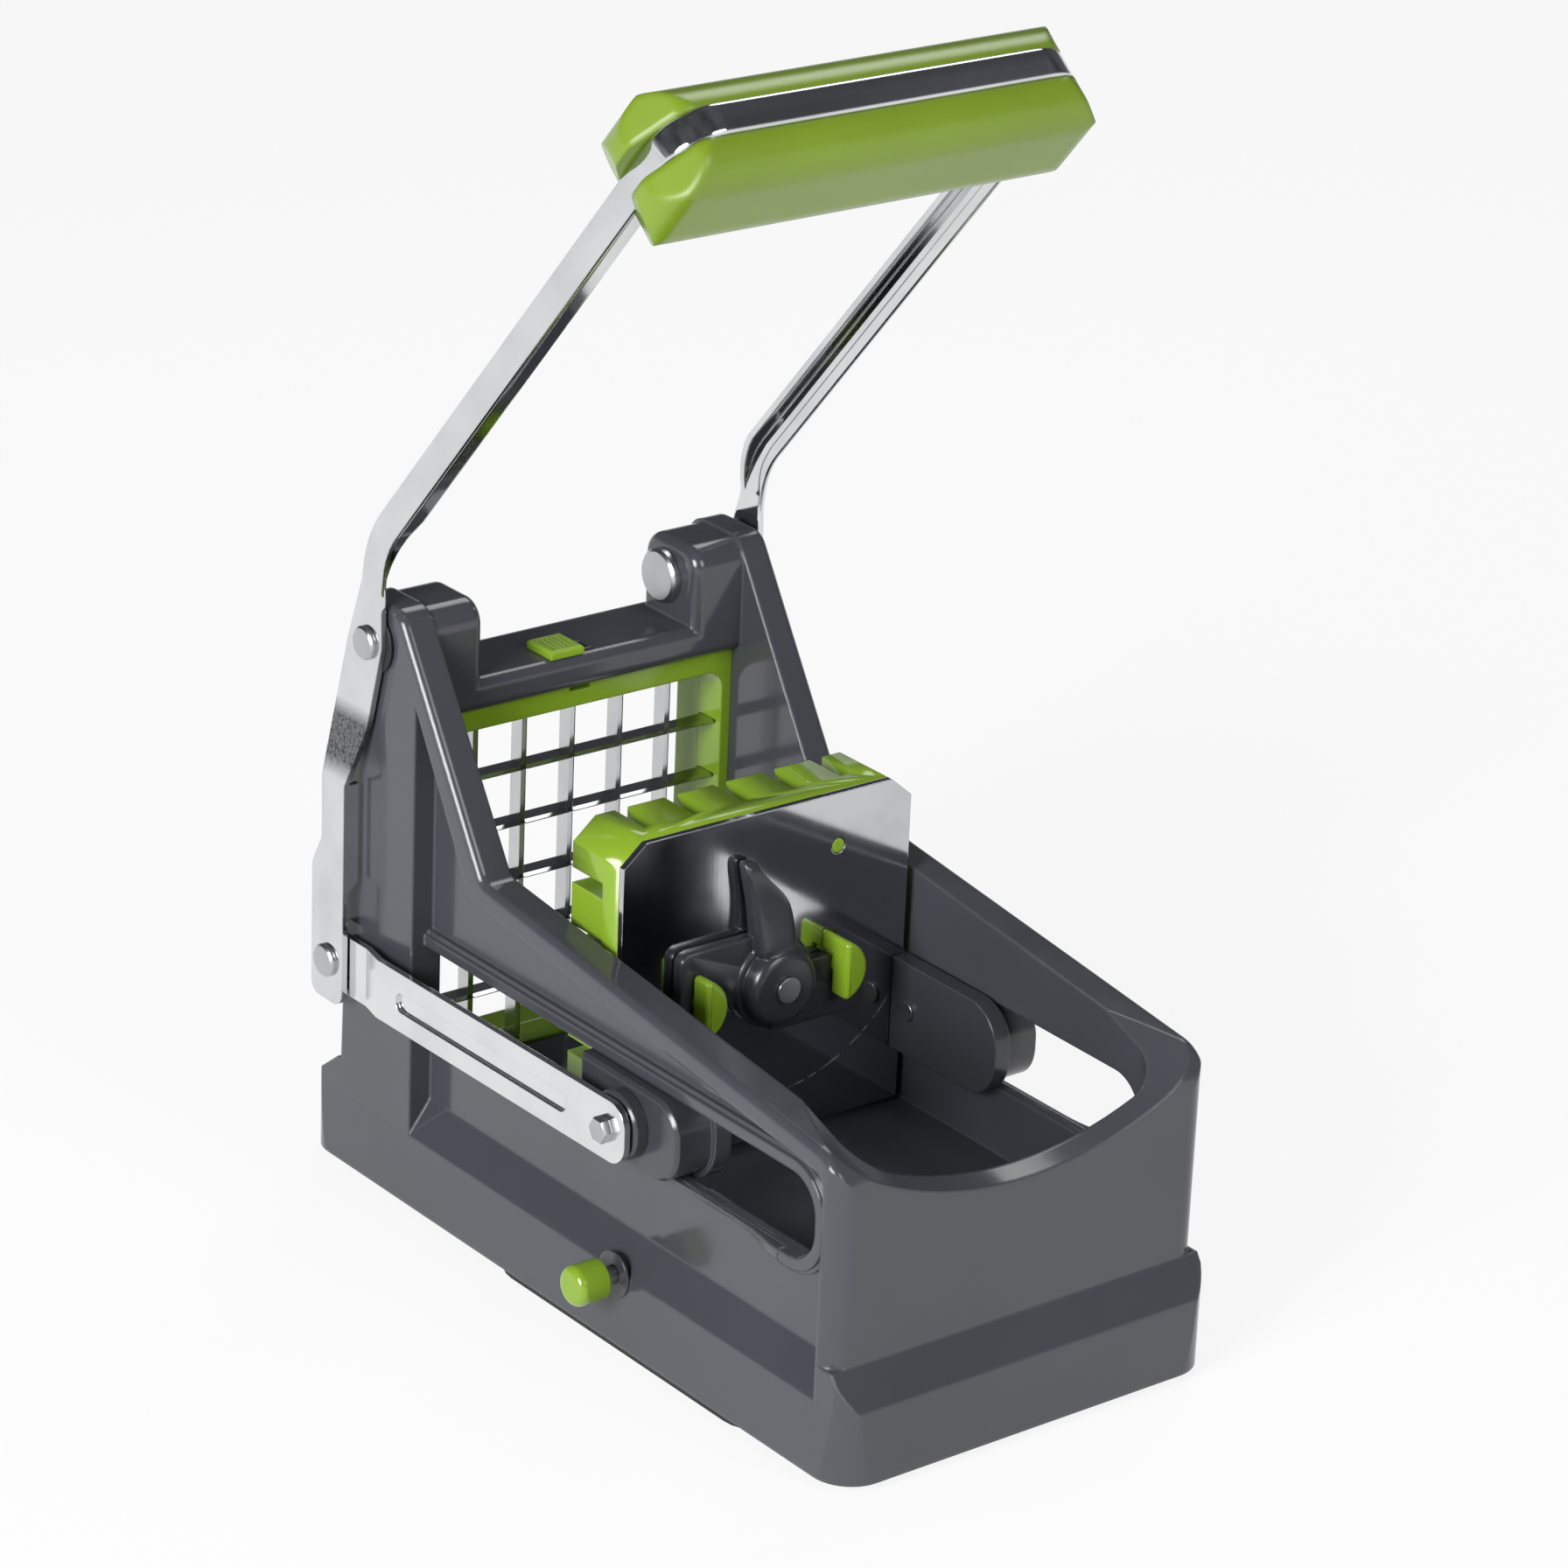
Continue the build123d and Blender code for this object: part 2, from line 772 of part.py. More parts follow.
def latch_notch():
    """Cut the latch pocket in the top bar, open to the front at the end of the travel."""
    stem_y = latch_y + latch_stem_back
    low = frame_top - latch_reach - side_gap
    top = frame_top
    half = latch_stem_width / 2 + slide_gap
    depth = latch_stem_depth / 2 + side_gap
    open_x = latch_x + latch_travel
    pocket = block((latch_x - half, open_x + half), (stem_y - depth, stem_y + depth), (low, top))
    return pocket + block((open_x - half, open_x + half), (frame_front_y, stem_y + depth), (low, top))


def make_blade_frame_rear():
    """Make the rear half of the cassette, which closes the blade slots."""
    return frame_ring(frame_split_y, frame_rear_y)


def blade_strip(half_length):
    """Make one blade strip along X with a ground front edge, centred on the origin's Z."""
    half = blade_thickness / 2
    rear_y = blade_front_y + blade_depth
    section = outline(
        (blade_front_y, half / 4),
        (blade_front_y + blade_edge, half),
        (rear_y, half),
        (rear_y, -half),
        (blade_front_y + blade_edge, -half),
        (blade_front_y, -half / 4),
    )
    return yz_prism(section, -half_length, half_length)


def blade_notches(y_range):
    """Cut the half-depth notches where the blades cross."""
    half = blade_thickness / 2 + running_gap
    notches = [block((x - half, x + half), y_range, (-1, 1)) for x in grid_lines()]
    return Compound(children=notches)


def make_level_blade(offset):
    """Make one level blade, notched from the front."""
    middle_y = blade_front_y + blade_depth / 2
    blade = blade_strip(grid_half + blade_tuck)
    blade -= blade_notches((blade_front_y, middle_y + running_gap))
    return Pos(0, 0, grid_centre_z + offset) * blade


def make_upright_blade(offset):
    """Make one upright blade, notched from the rear."""
    middle_y = blade_front_y + blade_depth / 2
    blade = blade_strip(grid_half + blade_tuck)
    blade -= blade_notches((middle_y - running_gap, blade_front_y + blade_depth))
    return Pos(offset, 0, grid_centre_z) * Rot(0, 90, 0) * blade


def make_latch_button():
    """Make the ribbed slide button with the stem that holds the cassette."""
    low = bar_height + running_gap
    cap = block(
        (latch_x - latch_width / 2, latch_x + latch_width / 2),
        (latch_y - latch_length / 2, latch_y + latch_length / 2),
        (low, low + latch_height),
    )
    cap = chamfer(cap.faces().sort_by(Axis.Z)[-1].edges(), latch_height / 4)
    rib_pitch = latch_width / (latch_ribs + 2)
    for n in range(latch_ribs):
        x = latch_x + (n - (latch_ribs - 1) / 2) * rib_pitch
        groove = block(
            (x - rib_pitch / 4, x + rib_pitch / 4),
            (latch_y - latch_length / 3, latch_y + latch_length / 3),
            (low + latch_height * 0.8, low + latch_height),
        )
        cap -= groove
    stem_y = latch_y + latch_stem_back
    stem_low = frame_top - latch_reach
    stem = block(
        (latch_x - latch_stem_width / 2, latch_x + latch_stem_width / 2),
        (stem_y - latch_stem_depth / 2, stem_y + latch_stem_depth / 2),
        (stem_low, low),
    )
    return cap + stem


# Pusher


def plate_outline():
    """Draw the pusher plate with its two clipped upper corners."""
    top = grid_centre_z + plate_half
    low = grid_centre_z - plate_half
    return outline(
        (-plate_half, low),
        (-plate_half, top - plate_corner_z),
        (plate_corner_x - plate_half, top),
        (plate_half - plate_corner_x, top),
        (plate_half, top - plate_corner_z),
        (plate_half, low),
    )


def stud_places():
    """List the X places of the two studs."""
    return (-stud_spacing / 2, stud_spacing / 2)


def stud_face(x, grow):
    """Draw the D-shaped section of a stud, flat towards -X, grown by a margin."""
    half = stud_head_width / 2 + grow
    disc = Pos(x + stud_head_width / 2 - stud_head_radius, grid_centre_z) * Circle(stud_head_radius + grow)
    return disc & Pos(x, grid_centre_z) * Rectangle(2 * half, 4 * stud_head_radius)


def slider_tab():
    """Make the tab of the plate that is turned forward into the right slider."""
    return block(
        (plate_half - plate_thickness, plate_half),
        (slider_front_y + tab_nose_wall, plate_front_y),
        (slot_middle - tab_height / 2, slot_middle + tab_height / 2),
    )


def make_pusher_plate():
    """Make the steel plate with its turned tabs and its holes."""
    plate = xz_prism(plate_outline(), plate_front_y, plate_rear_y)
    plate += both_sides(slider_tab())
    for x in stud_places():
        plate -= xz_prism(stud_face(x, slide_gap), plate_front_y, plate_rear_y)
    plate -= y_rod(lock_rivet_radius, plate_front_y, plate_rear_y, 0, grid_centre_z)
    peg_z = grid_centre_z + peg_rise
    plate -= y_rod(peg_radius + side_gap, plate_front_y, plate_rear_y, peg_x, peg_z)
    return plate - both_sides(slider_rivet())


def make_pusher_head():
    """Make the toothed head with its peg and two headed studs, each collared on the side the lock leaves."""
    slab_rear_y = plate_rear_y + head_slab
    head = xz_prism(plate_outline(), plate_rear_y, slab_rear_y + tooth_length)
    gap_y = (slab_rear_y, slab_rear_y + tooth_length)
    for offset in grid_lines():
        half = tooth_gap / 2
        z = grid_centre_z + offset
        head -= block((offset - half, offset + half), gap_y, (z - 2 * grid_half - offset, z + 2 * grid_half))
        head -= block((-grid_half, grid_half), gap_y, (z - half, z + half))
    neck_front_y = plate_front_y - side_gap - lock_thickness - slide_gap
    rest_z = lock_lip_rise + slide_gap
    for x in stud_places():
        head += xz_prism(stud_face(x, 0), plate_front_y, plate_rear_y)
        collar_z = (rest_z, 2 * stud_head_radius) if x > 0 else (-2 * stud_head_radius, -rest_z)
        collar = block((x - stud_head_width, x + stud_head_width), (neck_front_y, plate_front_y), collar_z)
        head += Pos(0, 0, grid_centre_z) * collar & xz_prism(stud_face(x, 0), neck_front_y, plate_front_y)
        head += y_rod(stud_neck_radius, neck_front_y, plate_front_y, x, grid_centre_z)
        cap = xz_prism(stud_face(x, 0), neck_front_y - stud_head_thickness, neck_front_y)
        head += fillet(cap.faces().sort_by(Axis.Y)[0].edges(), stud_head_thickness / 5)
    peg_z = grid_centre_z + peg_rise
    head += y_rod(peg_radius, plate_front_y, plate_rear_y, peg_x, peg_z)
    return head - y_rod(lock_rivet_head + side_gap, plate_rear_y, plate_rear_y + side_gap * 5, 0, grid_centre_z)


def ring_sector(radius, from_angle, to_angle):
    """Draw a pie piece about the lock's middle, angles counted from +X towards +Z."""
    reach = radius * 3
    start = (reach * cos(radians(from_angle)), reach * sin(radians(from_angle)))
    end = (reach * cos(radians(to_angle)), reach * sin(radians(to_angle)))
    return Circle(radius) & outline((0, 0), start, end)


def lock_arm():
    """Draw the right arm of the lock, hooked under the stud's neck and open upwards."""
    stud_x = stud_spacing / 2
    hook = stud_neck_radius + slide_gap
    arm = outline(
        (0, -lock_arm_drop),
        (lock_arm_radius, -lock_arm_drop),
        (lock_arm_radius, lock_lip_rise),
        (0, lock_lip_rise),
    )
    arm = fillet(arm.vertices().group_by(Axis.X)[-1], lock_arm_corner)
    mouth = ring_sector(stud_x + hook, 0, lock_mouth_angle) - Circle(stud_x - hook)
    return arm - mouth - Pos(stud_x, 0) * Circle(hook)


def lock_fin():
    """Make the thumb fin: its front view crossed with its side view, which leans down to the plate."""
    rear_y = plate_front_y - side_gap
    half = lock_fin_width / 2
    front = outline(
        (-half * 1.6, 0),
        (-half * 2, lock_fin_length),
        (-half * 0.5, lock_fin_length),
        (half * 0.5, lock_fin_length * 0.77),
        (half * 1.3, lock_fin_length * 0.3),
        (half * 1.3, 0),
    )
    front = rounded(front, (-half * 2, lock_fin_length), half * 0.6)
    front = rounded(front, (-half * 0.5, lock_fin_length), half * 0.8)
    front = rounded(front, (half * 0.5, lock_fin_length * 0.77), half * 3)
    side = outline(
        (0, 0),
        (-lock_fin_height, 0),
        (-lock_fin_height, lock_fin_length * 0.5),
        (-lock_fin_tip, lock_fin_length),
        (0, lock_fin_length),
    )
    side = rounded(side, (-lock_fin_height, lock_fin_length * 0.5), lock_fin_height)
    side = rounded(side, (-lock_fin_tip, lock_fin_length), lock_fin_tip / 2)
    fin = xz_prism(Pos(0, grid_centre_z) * front, rear_y - lock_fin_height, rear_y)
    fin &= yz_prism(Pos(rear_y, grid_centre_z) * side, -2 * lock_fin_width, 2 * lock_fin_width)
    rim = [e for e in fin.edges() if e.center().Y < rear_y - lock_fin_tip / 2]
    rim = [e for e in rim if e.center().Z > grid_centre_z + 1]
    rim = [e for e in rim if e.bounding_box().size.Z > lock_edge_round]
    return fillet(rim, lock_edge_round)


def make_lock_lever():
    """Make the turning lock: a hub, two hooked arms and a thumb fin."""
    rear_y = plate_front_y - side_gap
    arm = lock_arm()
    arms = Circle(lock_hub_radius) + arm + Rot(0, 0, 180) * arm
    lever = xz_prism(Pos(0, grid_centre_z) * arms, rear_y - lock_thickness, rear_y)
    hub = y_rod(lock_hub_radius, rear_y - lock_hub_height, rear_y, 0, grid_centre_z)
    lever += fillet(hub.edges().sort_by(Axis.Y)[0], lock_hub_radius / 5)
    lever += lock_fin() - y_rod(lock_hub_radius, rear_y - 2 * lock_fin_height, rear_y, 0, grid_centre_z)
    return lever - y_rod(lock_rivet_radius + running_gap, rear_y - lock_hub_height, rear_y, 0, grid_centre_z)


def make_lock_rivet():
    """Make the rivet that the lock turns on."""
    hub_face_y = plate_front_y - side_gap - lock_hub_height - running_gap
    rivet = y_rod(lock_rivet_radius, hub_face_y, plate_rear_y, 0, grid_centre_z)
    rivet += y_rod(lock_rivet_head, hub_face_y - lock_rivet_radius / 3, hub_face_y, 0, grid_centre_z)
    return rivet + y_rod(lock_rivet_head, plate_rear_y, plate_rear_y + side_gap * 4, 0, grid_centre_z)


def slider_rivet():
    """Make the right rivet that ties a slider to its tab."""
    y = plate_front_y - slider_rivet_back
    rivet = x_rod(slider_rivet_radius, slider_inner_x, slider_outer_x - slider_play, y, slot_middle)
    head_height = slider_rivet_radius / 2
    return rivet + x_rod(slider_rivet_head, slider_inner_x - head_height, slider_inner_x, y, slot_middle)


def slider_face(grow):
    """Draw the slider in side view, grown by a margin."""
    low = slot_middle - slider_half - grow
    high = slot_middle + slider_half + grow
    front = slider_front_y - grow
    face = outline((front, low), (slider_rear_y, low), (slider_rear_y, high), (front, high))
    return fillet(face.vertices().group_by(Axis.X)[0], slot_corner + grow)


def make_slider():
    """Make the right slider: a block in the side slot with a flange inside the trough wall."""
    slider = yz_prism(slider_face(0), slider_inner_x, slider_outer_x)
    slider = chamfer(slider.faces().sort_by(Axis.X)[-1].edges(), slider_edge)
    slider += yz_prism(slider_face(slider_flange), slider_inner_x, trough_half - slide_gap)
    slider -= block(
        (plate_half - plate_thickness - running_gap, plate_half + running_gap),
        (slider_front_y + tab_nose_wall - running_gap, slider_rear_y),
        (slot_middle - tab_height / 2 - running_gap, slot_middle + tab_height / 2 + running_gap),
    )
    return slider - slider_rivet()


def make_link_spacer():
    """Make the round spacer between the right slider and its link."""
    spacer = x_rod(spacer_radius, slider_outer_x, spacer_face_x, link_pin_y, slot_middle)
    return chamfer(spacer.edges().sort_by(Axis.X)[-1], slide_gap * 2)


# Linkage and lever


def make_link():
    """Make the right link: a bar from the lever's foot to the spacer, stepped out and grooved."""
    length = hypot(crank_y - link_pin_y, crank_z - slot_middle)
    tilt = Rot(0, 0, atan2(crank_z - slot_middle, crank_y - link_pin_y) * 180 / pi)
    place = Pos(link_pin_y, slot_middle) * tilt * Pos(length / 2, 0)
    bar = RectangleRounded(length + link_width, link_width, link_corner)
    ends = Pos(-length / 2, 0) * Circle(link_bolt_radius)
    ends += Pos(length / 2, 0) * Circle(rivet_neck_radius + running_gap)
    outer_x = link_front_x + link_thickness
    bend_rear_y = crank_y - link_joggle_start
    bend_front_y = bend_rear_y - link_joggle_length
    strip = outline(
        (link_inner_x, crank_y + link_width),
        (link_inner_x, bend_rear_y),
        (link_front_x, bend_front_y),
        (link_front_x, link_pin_y - link_width),
        (outer_x, link_pin_y - link_width),
        (outer_x, bend_front_y),
        (link_inner_x + link_thickness, bend_rear_y),
        (link_inner_x + link_thickness, crank_y + link_width),
    )
    link = yz_prism(place * (bar - ends), body_half, outer_x + link_thickness)
    link &= xy_prism(strip, floor_height, rail_front_height)
    groove = Pos(-link_joggle_start / 2, 0) * SlotOverall(link_groove_length, link_groove_width)
    return link - yz_prism(place * groove, outer_x - link_groove_depth, outer_x)


def make_link_bolt():
    """Make the right hex-headed pin at the front end of the link."""
    outer_x = link_front_x + link_thickness
    pin = x_rod(link_bolt_radius, link_front_x - link_bolt_tail, outer_x, link_pin_y, slot_middle)
    hexagon = Pos(link_pin_y, slot_middle) * RegularPolygon(link_bolt_flats / 2, 6, major_radius=False)
    return pin + yz_prism(hexagon, outer_x, outer_x + link_bolt_height)


def make_crank_rivet():
    """Make the right rivet between the lever's foot and the link."""
    inner_x = link_inner_x - running_gap * 2
    rivet = x_rod(rivet_neck_radius, inner_x, low_foot_outer_x, crank_y, crank_z)
    rivet += x_rod(rivet_head_radius, inner_x - rivet_inner_head, inner_x, crank_y, crank_z)
    return rivet + rivet_head(rivet_head_radius, rivet_head_height, low_foot_outer_x, crank_y, crank_z)


def foot_face():
    """Draw the flat foot of the lever in side view, from its square end to the arm's root."""
    half = channel_width / 2 - channel_edge_round * 0.3
    neck_y = pivot_y + foot_dir[0] * foot_neck
    neck_z = pivot_height + foot_dir[1] * foot_neck
    rear = crank_y + foot_half_width
    front = crank_y - foot_half_width
    low = crank_z - foot_tail
    rise = joggle_bottom - crank_z
    shoulder = crank_z + rise * foot_shoulder_share
    waist = crank_z + rise * foot_waist_share
    waist_top = crank_z + rise * foot_waist_top_share
    face = outline(
        (front, low),
        (rear, low),
        (rear, shoulder),
        (rear - foot_waist, waist),
        (rear - foot_waist, waist_top),
        (rear - foot_swell, joggle_top),
        (pivot_y + pivot_rear_width, pivot_height),
        (neck_y + foot_across[0] * half, neck_z + foot_across[1] * half),
        (neck_y - foot_across[0] * half, neck_z - foot_across[1] * half),
        (pivot_y - pivot_front_width, pivot_height),
        (front, joggle_bottom),
    )
    lower = face.vertices().filter_by_position(Axis.Y, low - 1, pivot_height + 1)
    return fillet(lower, foot_corner)


def arm_band(width):
    """Draw the arm's root in side view as a band of one width, bent at the elbow."""
    half = width / 2
    start_y = pivot_y + foot_dir[0] * foot_root
    start_z = pivot_height + foot_dir[1] * foot_root
    end_y = elbow_y + arm_dir[0] * arm_root
    end_z = elbow_z + arm_dir[1] * arm_root
    mitre = half / (1 + foot_across[0] * arm_across[0] + foot_across[1] * arm_across[1])
    mitre_y = (foot_across[0] + arm_across[0]) * mitre
    mitre_z = (foot_across[1] + arm_across[1]) * mitre
    face = outline(
        (start_y + foot_across[0] * half, start_z + foot_across[1] * half),
        (elbow_y + mitre_y, elbow_z + mitre_z),
        (end_y + arm_across[0] * half, end_z + arm_across[1] * half),
        (end_y - arm_across[0] * half, end_z - arm_across[1] * half),
        (elbow_y - mitre_y, elbow_z - mitre_z),
        (start_y - foot_across[0] * half, start_z - foot_across[1] * half),
    )
    face = rounded(face, (elbow_y + mitre_y, elbow_z + mitre_z), elbow_round + half)
    return rounded(face, (elbow_y - mitre_y, elbow_z - mitre_z), elbow_round - half)


def arm_bend():
    """Make the right elbow: the channel carried round the bend, its flanges dying out over the tower."""
    inner_x = bail_half - channel_depth
    bend = yz_prism(arm_band(channel_width), inner_x, bail_half)
    rim = [e for e in bend.faces().sort_by(Axis.X)[-1].edges() if e.length > channel_width + running_gap]
    bend = fillet(rim, channel_edge_round)
    bend -= yz_prism(arm_band(channel_width - 2 * sheet), inner_x, foot_inner_x)
    fade = outline(
        (foot_inner_x, pivot_height + flange_start),
        (inner_x, pivot_height + flange_full),
        (inner_x, pivot_height),
        (foot_inner_x, pivot_height),
    )
    return bend - xz_prism(fade, 0, base_length)


def lever_foot():
    """Make the right foot: the side outline cut from a sheet with an outward joggle and a turned lip."""
    top = elbow_z + arm_length
    low = crank_z - 2 * foot_tail
    joggled = outline(
        (foot_inner_x, top),
        (bail_half, top),
        (bail_half, joggle_top),
        (low_foot_outer_x, joggle_bottom),
        (low_foot_outer_x, low),
        (low_foot_inner_x, low),
        (low_foot_inner_x, joggle_bottom),
        (foot_inner_x, joggle_top),
    )
    sheet_strip = xz_prism(joggled, 0, base_length)
    foot = sheet_strip & yz_prism(foot_face(), body_half, low_foot_outer_x + sheet)
    lip_low = crank_z + (joggle_bottom - crank_z) * foot_lip_share
    lip = outline(
        (low_foot_inner_x - foot_lip_depth, lip_low + foot_lip_depth),
        (low_foot_inner_x, lip_low),
        (low_foot_inner_x, joggle_bottom),
        (low_foot_inner_x - foot_lip_depth, joggle_bottom),
    )
    lip_front_y = crank_y - foot_half_width
    foot += xz_prism(lip, lip_front_y, lip_front_y + sheet)
    foot -= x_rod(rivet_neck_radius + running_gap, body_half, low_foot_outer_x, pivot_y, pivot_height)
    return foot - x_rod(rivet_neck_radius, body_half, low_foot_outer_x, crank_y, crank_z)


def bail_outline(inset):
    """Draw the arch of the bail in its own plane, inset from the outer edge."""
    half = bail_half - inset
    top = arm_length - inset
    face = outline((-half, arm_root), (-half, top), (half, top), (half, arm_root))
    return fillet(face.vertices().group_by(Axis.Y)[-1], max(bail_corner - inset, sheet))


def make_lever_bail():
    """Make the bail: a channel bent over the grip, with a flat joggled foot at each end."""
    half = channel_width / 2
    channel = extrude(bail_plane.offset(-half) * bail_outline(0), amount=channel_width)
    mid_z = elbow_z + arm_length * sin(lean) / 4
    rim = [e for e in channel.faces().filter_by(bail_plane).edges() if e.center().Z > mid_z]
    channel = fillet(rim, channel_edge_round)
    channel -= extrude(bail_plane.offset(-half) * bail_outline(channel_depth), amount=channel_width)
    hollow = bail_plane.offset(sheet - half) * bail_outline(sheet)
    channel -= extrude(hollow, amount=channel_width - 2 * sheet)
    return channel + both_sides(lever_foot() + arm_bend())


def make_pivot_pin():
    """Make the right pivot pin, headed inside the boss and riveted over outside the lever's foot."""
    inner_x = boss_inner_x
    head = x_rod(pin_head_radius, inner_x - pin_head_thickness, inner_x, pivot_y, pivot_height)
    head = chamfer(head.edges().sort_by(Axis.X)[0], pin_head_thickness / 4)
    pin = head + x_rod(pin_radius, inner_x, body_half, pivot_y, pivot_height)
    outer_x = bail_half + running_gap
    pin += x_rod(rivet_neck_radius, body_half, outer_x, pivot_y, pivot_height)
    return pin + rivet_head(rivet_head_radius, rivet_head_height, outer_x, pivot_y, pivot_height)


def make_pivot_washer():
    """Make the right washer between the tower and the lever's foot."""
    outer_x = body_half + washer_thickness
    washer = x_rod(washer_radius, body_half, outer_x, pivot_y, pivot_height)
    return washer - x_rod(rivet_neck_radius, body_half, outer_x, pivot_y, pivot_height)


# Grip


def grip_screws():
    """List the two screws that close the grip, driven from the rear half."""
    v = arm_length - grip_screw_drop
    half = grip_thickness / 2
    screws = []
    for u in (-grip_screw_x, grip_screw_x):
        spot = Pos(u, v)
        seat = grip_screw_head - half
        head_face = bail_plane.offset(seat) * (spot * Circle(grip_screw_head))
        head = extrude(head_face, amount=grip_screw_radius)
        low = seat + grip_screw_radius
        shank = extrude(bail_plane.offset(low) * (spot * Circle(grip_screw_radius)), amount=half)
        screws.append(head + shank)
    return screws


def make_grip_screws():
    """Make the two grip screws as one group."""
    return Compound(children=grip_screws())


def make_grip_half(front):
    """Make one half of the grip: a rounded bar with clipped ends, grooved for the channel."""
    top = arm_length - grip_top_inset
    low = top - grip_height
    shoulder = top - grip_shoulder
    side = outline(
        (-grip_top_half_length, top),
        (grip_top_half_length, top),
        (grip_half_length, shoulder),
        (grip_half_length, shoulder - grip_land),
        (grip_top_half_length, low),
        (-grip_top_half_length, low),
        (-grip_half_length, shoulder - grip_land),
        (-grip_half_length, shoulder),
    )
    side = fillet(side.vertices(), grip_side_round)
    for n in (-1, 0, 1):
        middle = low - grip_scallop_radius + grip_scallop_depth
        side -= Pos(n * grip_scallop_pitch, middle) * Circle(grip_scallop_radius)
    half = grip_thickness / 2
    bar = extrude(bail_plane.offset(-half) * side, amount=grip_thickness)

    # The long section, drawn across the bar and run along X
    section_plane = Plane(
        origin=bail_plane.from_local_coords((-grip_half_length, (top + low) / 2, 0)),
        x_dir=bail_plane.z_dir,
        z_dir=bail_plane.x_dir,
    )
    section = RectangleRounded(grip_thickness, grip_height, grip_round)
    bar &= extrude(section_plane * section, amount=2 * grip_half_length)

    # The plan, which rounds the ends
    plan_plane = Plane(
        origin=bail_plane.from_local_coords((0, low, 0)), x_dir=bail_plane.x_dir, z_dir=bail_plane.y_dir
    )
    plan = RectangleRounded(2 * grip_half_length, grip_thickness, grip_end_round)
    bar &= extrude(plan_plane * plan, amount=grip_height)

    # Groove for the channel and its arms
    groove_half = channel_width / 2 + running_gap
    wide = Pos(0, top) * Rectangle(3 * grip_half_length, 3 * grip_height)
    keep = bail_outline(channel_depth + running_gap)
    bar -= extrude(bail_plane.offset(-groove_half) * (wide - keep), amount=2 * groove_half)

    # One side of the parting plane, with the screw holes
    reach = Pos(0, top) * Rectangle(4 * grip_half_length, 4 * grip_height)
    bar &= extrude(bail_plane * reach, amount=grip_thickness if front else -grip_thickness)
    for screw in grip_screws():
        bar -= screw
    if not front:
        v = arm_length - grip_screw_drop
        for u in (-grip_screw_x, grip_screw_x):
            spot = Pos(u, v) * Circle(grip_screw_head)
            bar -= extrude(bail_plane.offset(-half) * spot, amount=grip_screw_head)
    return bar


def build_nodes():
    """Return every piece under its own name."""
    nodes = {
        "body": make_body(),
        "base_plate": make_base_plate(),
        "base_screws": make_base_screws(),
        "suction_pad": make_suction_pad(),
        "suction_stud": make_suction_stud(),
        "stud_nut": make_stud_nut(),
        "release_bush": make_release_bush(),
        "release_rod": make_release_rod(),
        "release_cap": make_release_cap(),
        "release_clip": make_release_clip(),
        "release_spring": make_release_spring(),
        "blade_frame_front": make_blade_frame_front(),
        "blade_frame_rear": make_blade_frame_rear(),
        "latch_button": make_latch_button(),
        "pusher_plate": make_pusher_plate(),
        "pusher_head": make_pusher_head(),
        "lock_lever": make_lock_lever(),
        "lock_rivet": make_lock_rivet(),
        "lever_bail": make_lever_bail(),
        "grip_front": make_grip_half(front=True),
        "grip_rear": make_grip_half(front=False),
        "grip_screws": make_grip_screws(),
    }
    for n, offset in enumerate(grid_lines(), start=1):
        nodes[f"upright_blade_{n}"] = make_upright_blade(offset)
        nodes[f"level_blade_{n}"] = make_level_blade(offset)
    paired = {
        "slider": make_slider(),
        "slider_rivet": slider_rivet(),
        "link_spacer": make_link_spacer(),
        "link": make_link(),
        "link_bolt": make_link_bolt(),
        "crank_rivet": make_crank_rivet(),
        "pivot_pin": make_pivot_pin(),
        "pivot_washer": make_pivot_washer(),
    }
    for name, shape in paired.items():
        nodes[f"{name}_right"] = shape
        nodes[f"{name}_left"] = other_side(shape)
    return nodes


def main():
    """Write one STEP file for each piece."""
    os.makedirs("parts", exist_ok=True)
    for name, shape in build_nodes().items():
        export_step(shape, f"parts/{name}.step")


if __name__ == "__main__":
    main()
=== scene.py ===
"""A lever vegetable chopper on a pale studio floor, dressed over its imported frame."""

import logging
import math
from dataclasses import dataclass
from enum import Enum
from typing import Any, Callable, Mapping, Optional, Sequence, Union

import bpy
from mathutils import Matrix, Vector


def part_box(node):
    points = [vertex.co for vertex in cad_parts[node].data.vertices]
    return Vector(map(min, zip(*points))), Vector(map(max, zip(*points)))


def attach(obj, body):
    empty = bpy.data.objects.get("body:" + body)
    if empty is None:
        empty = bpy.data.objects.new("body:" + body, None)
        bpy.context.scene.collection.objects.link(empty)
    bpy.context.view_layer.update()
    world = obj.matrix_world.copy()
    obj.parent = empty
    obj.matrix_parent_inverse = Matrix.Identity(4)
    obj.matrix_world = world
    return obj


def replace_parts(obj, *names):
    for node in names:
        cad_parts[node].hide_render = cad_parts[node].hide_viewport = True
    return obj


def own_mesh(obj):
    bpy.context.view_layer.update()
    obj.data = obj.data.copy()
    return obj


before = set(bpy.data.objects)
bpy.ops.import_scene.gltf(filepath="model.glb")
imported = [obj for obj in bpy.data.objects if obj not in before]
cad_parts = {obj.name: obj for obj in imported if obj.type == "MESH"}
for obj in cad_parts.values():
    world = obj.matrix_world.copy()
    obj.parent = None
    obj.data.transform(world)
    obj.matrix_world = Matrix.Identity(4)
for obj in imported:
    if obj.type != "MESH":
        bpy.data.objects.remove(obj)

LOG = logging.getLogger("chopper")
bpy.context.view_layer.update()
# Sizes of pieces are in millimetres, and the places and ways that Blender takes in metres.
MM = 0.001
# Corners nearer than this, in metres, become one.
WELD = 1e-6
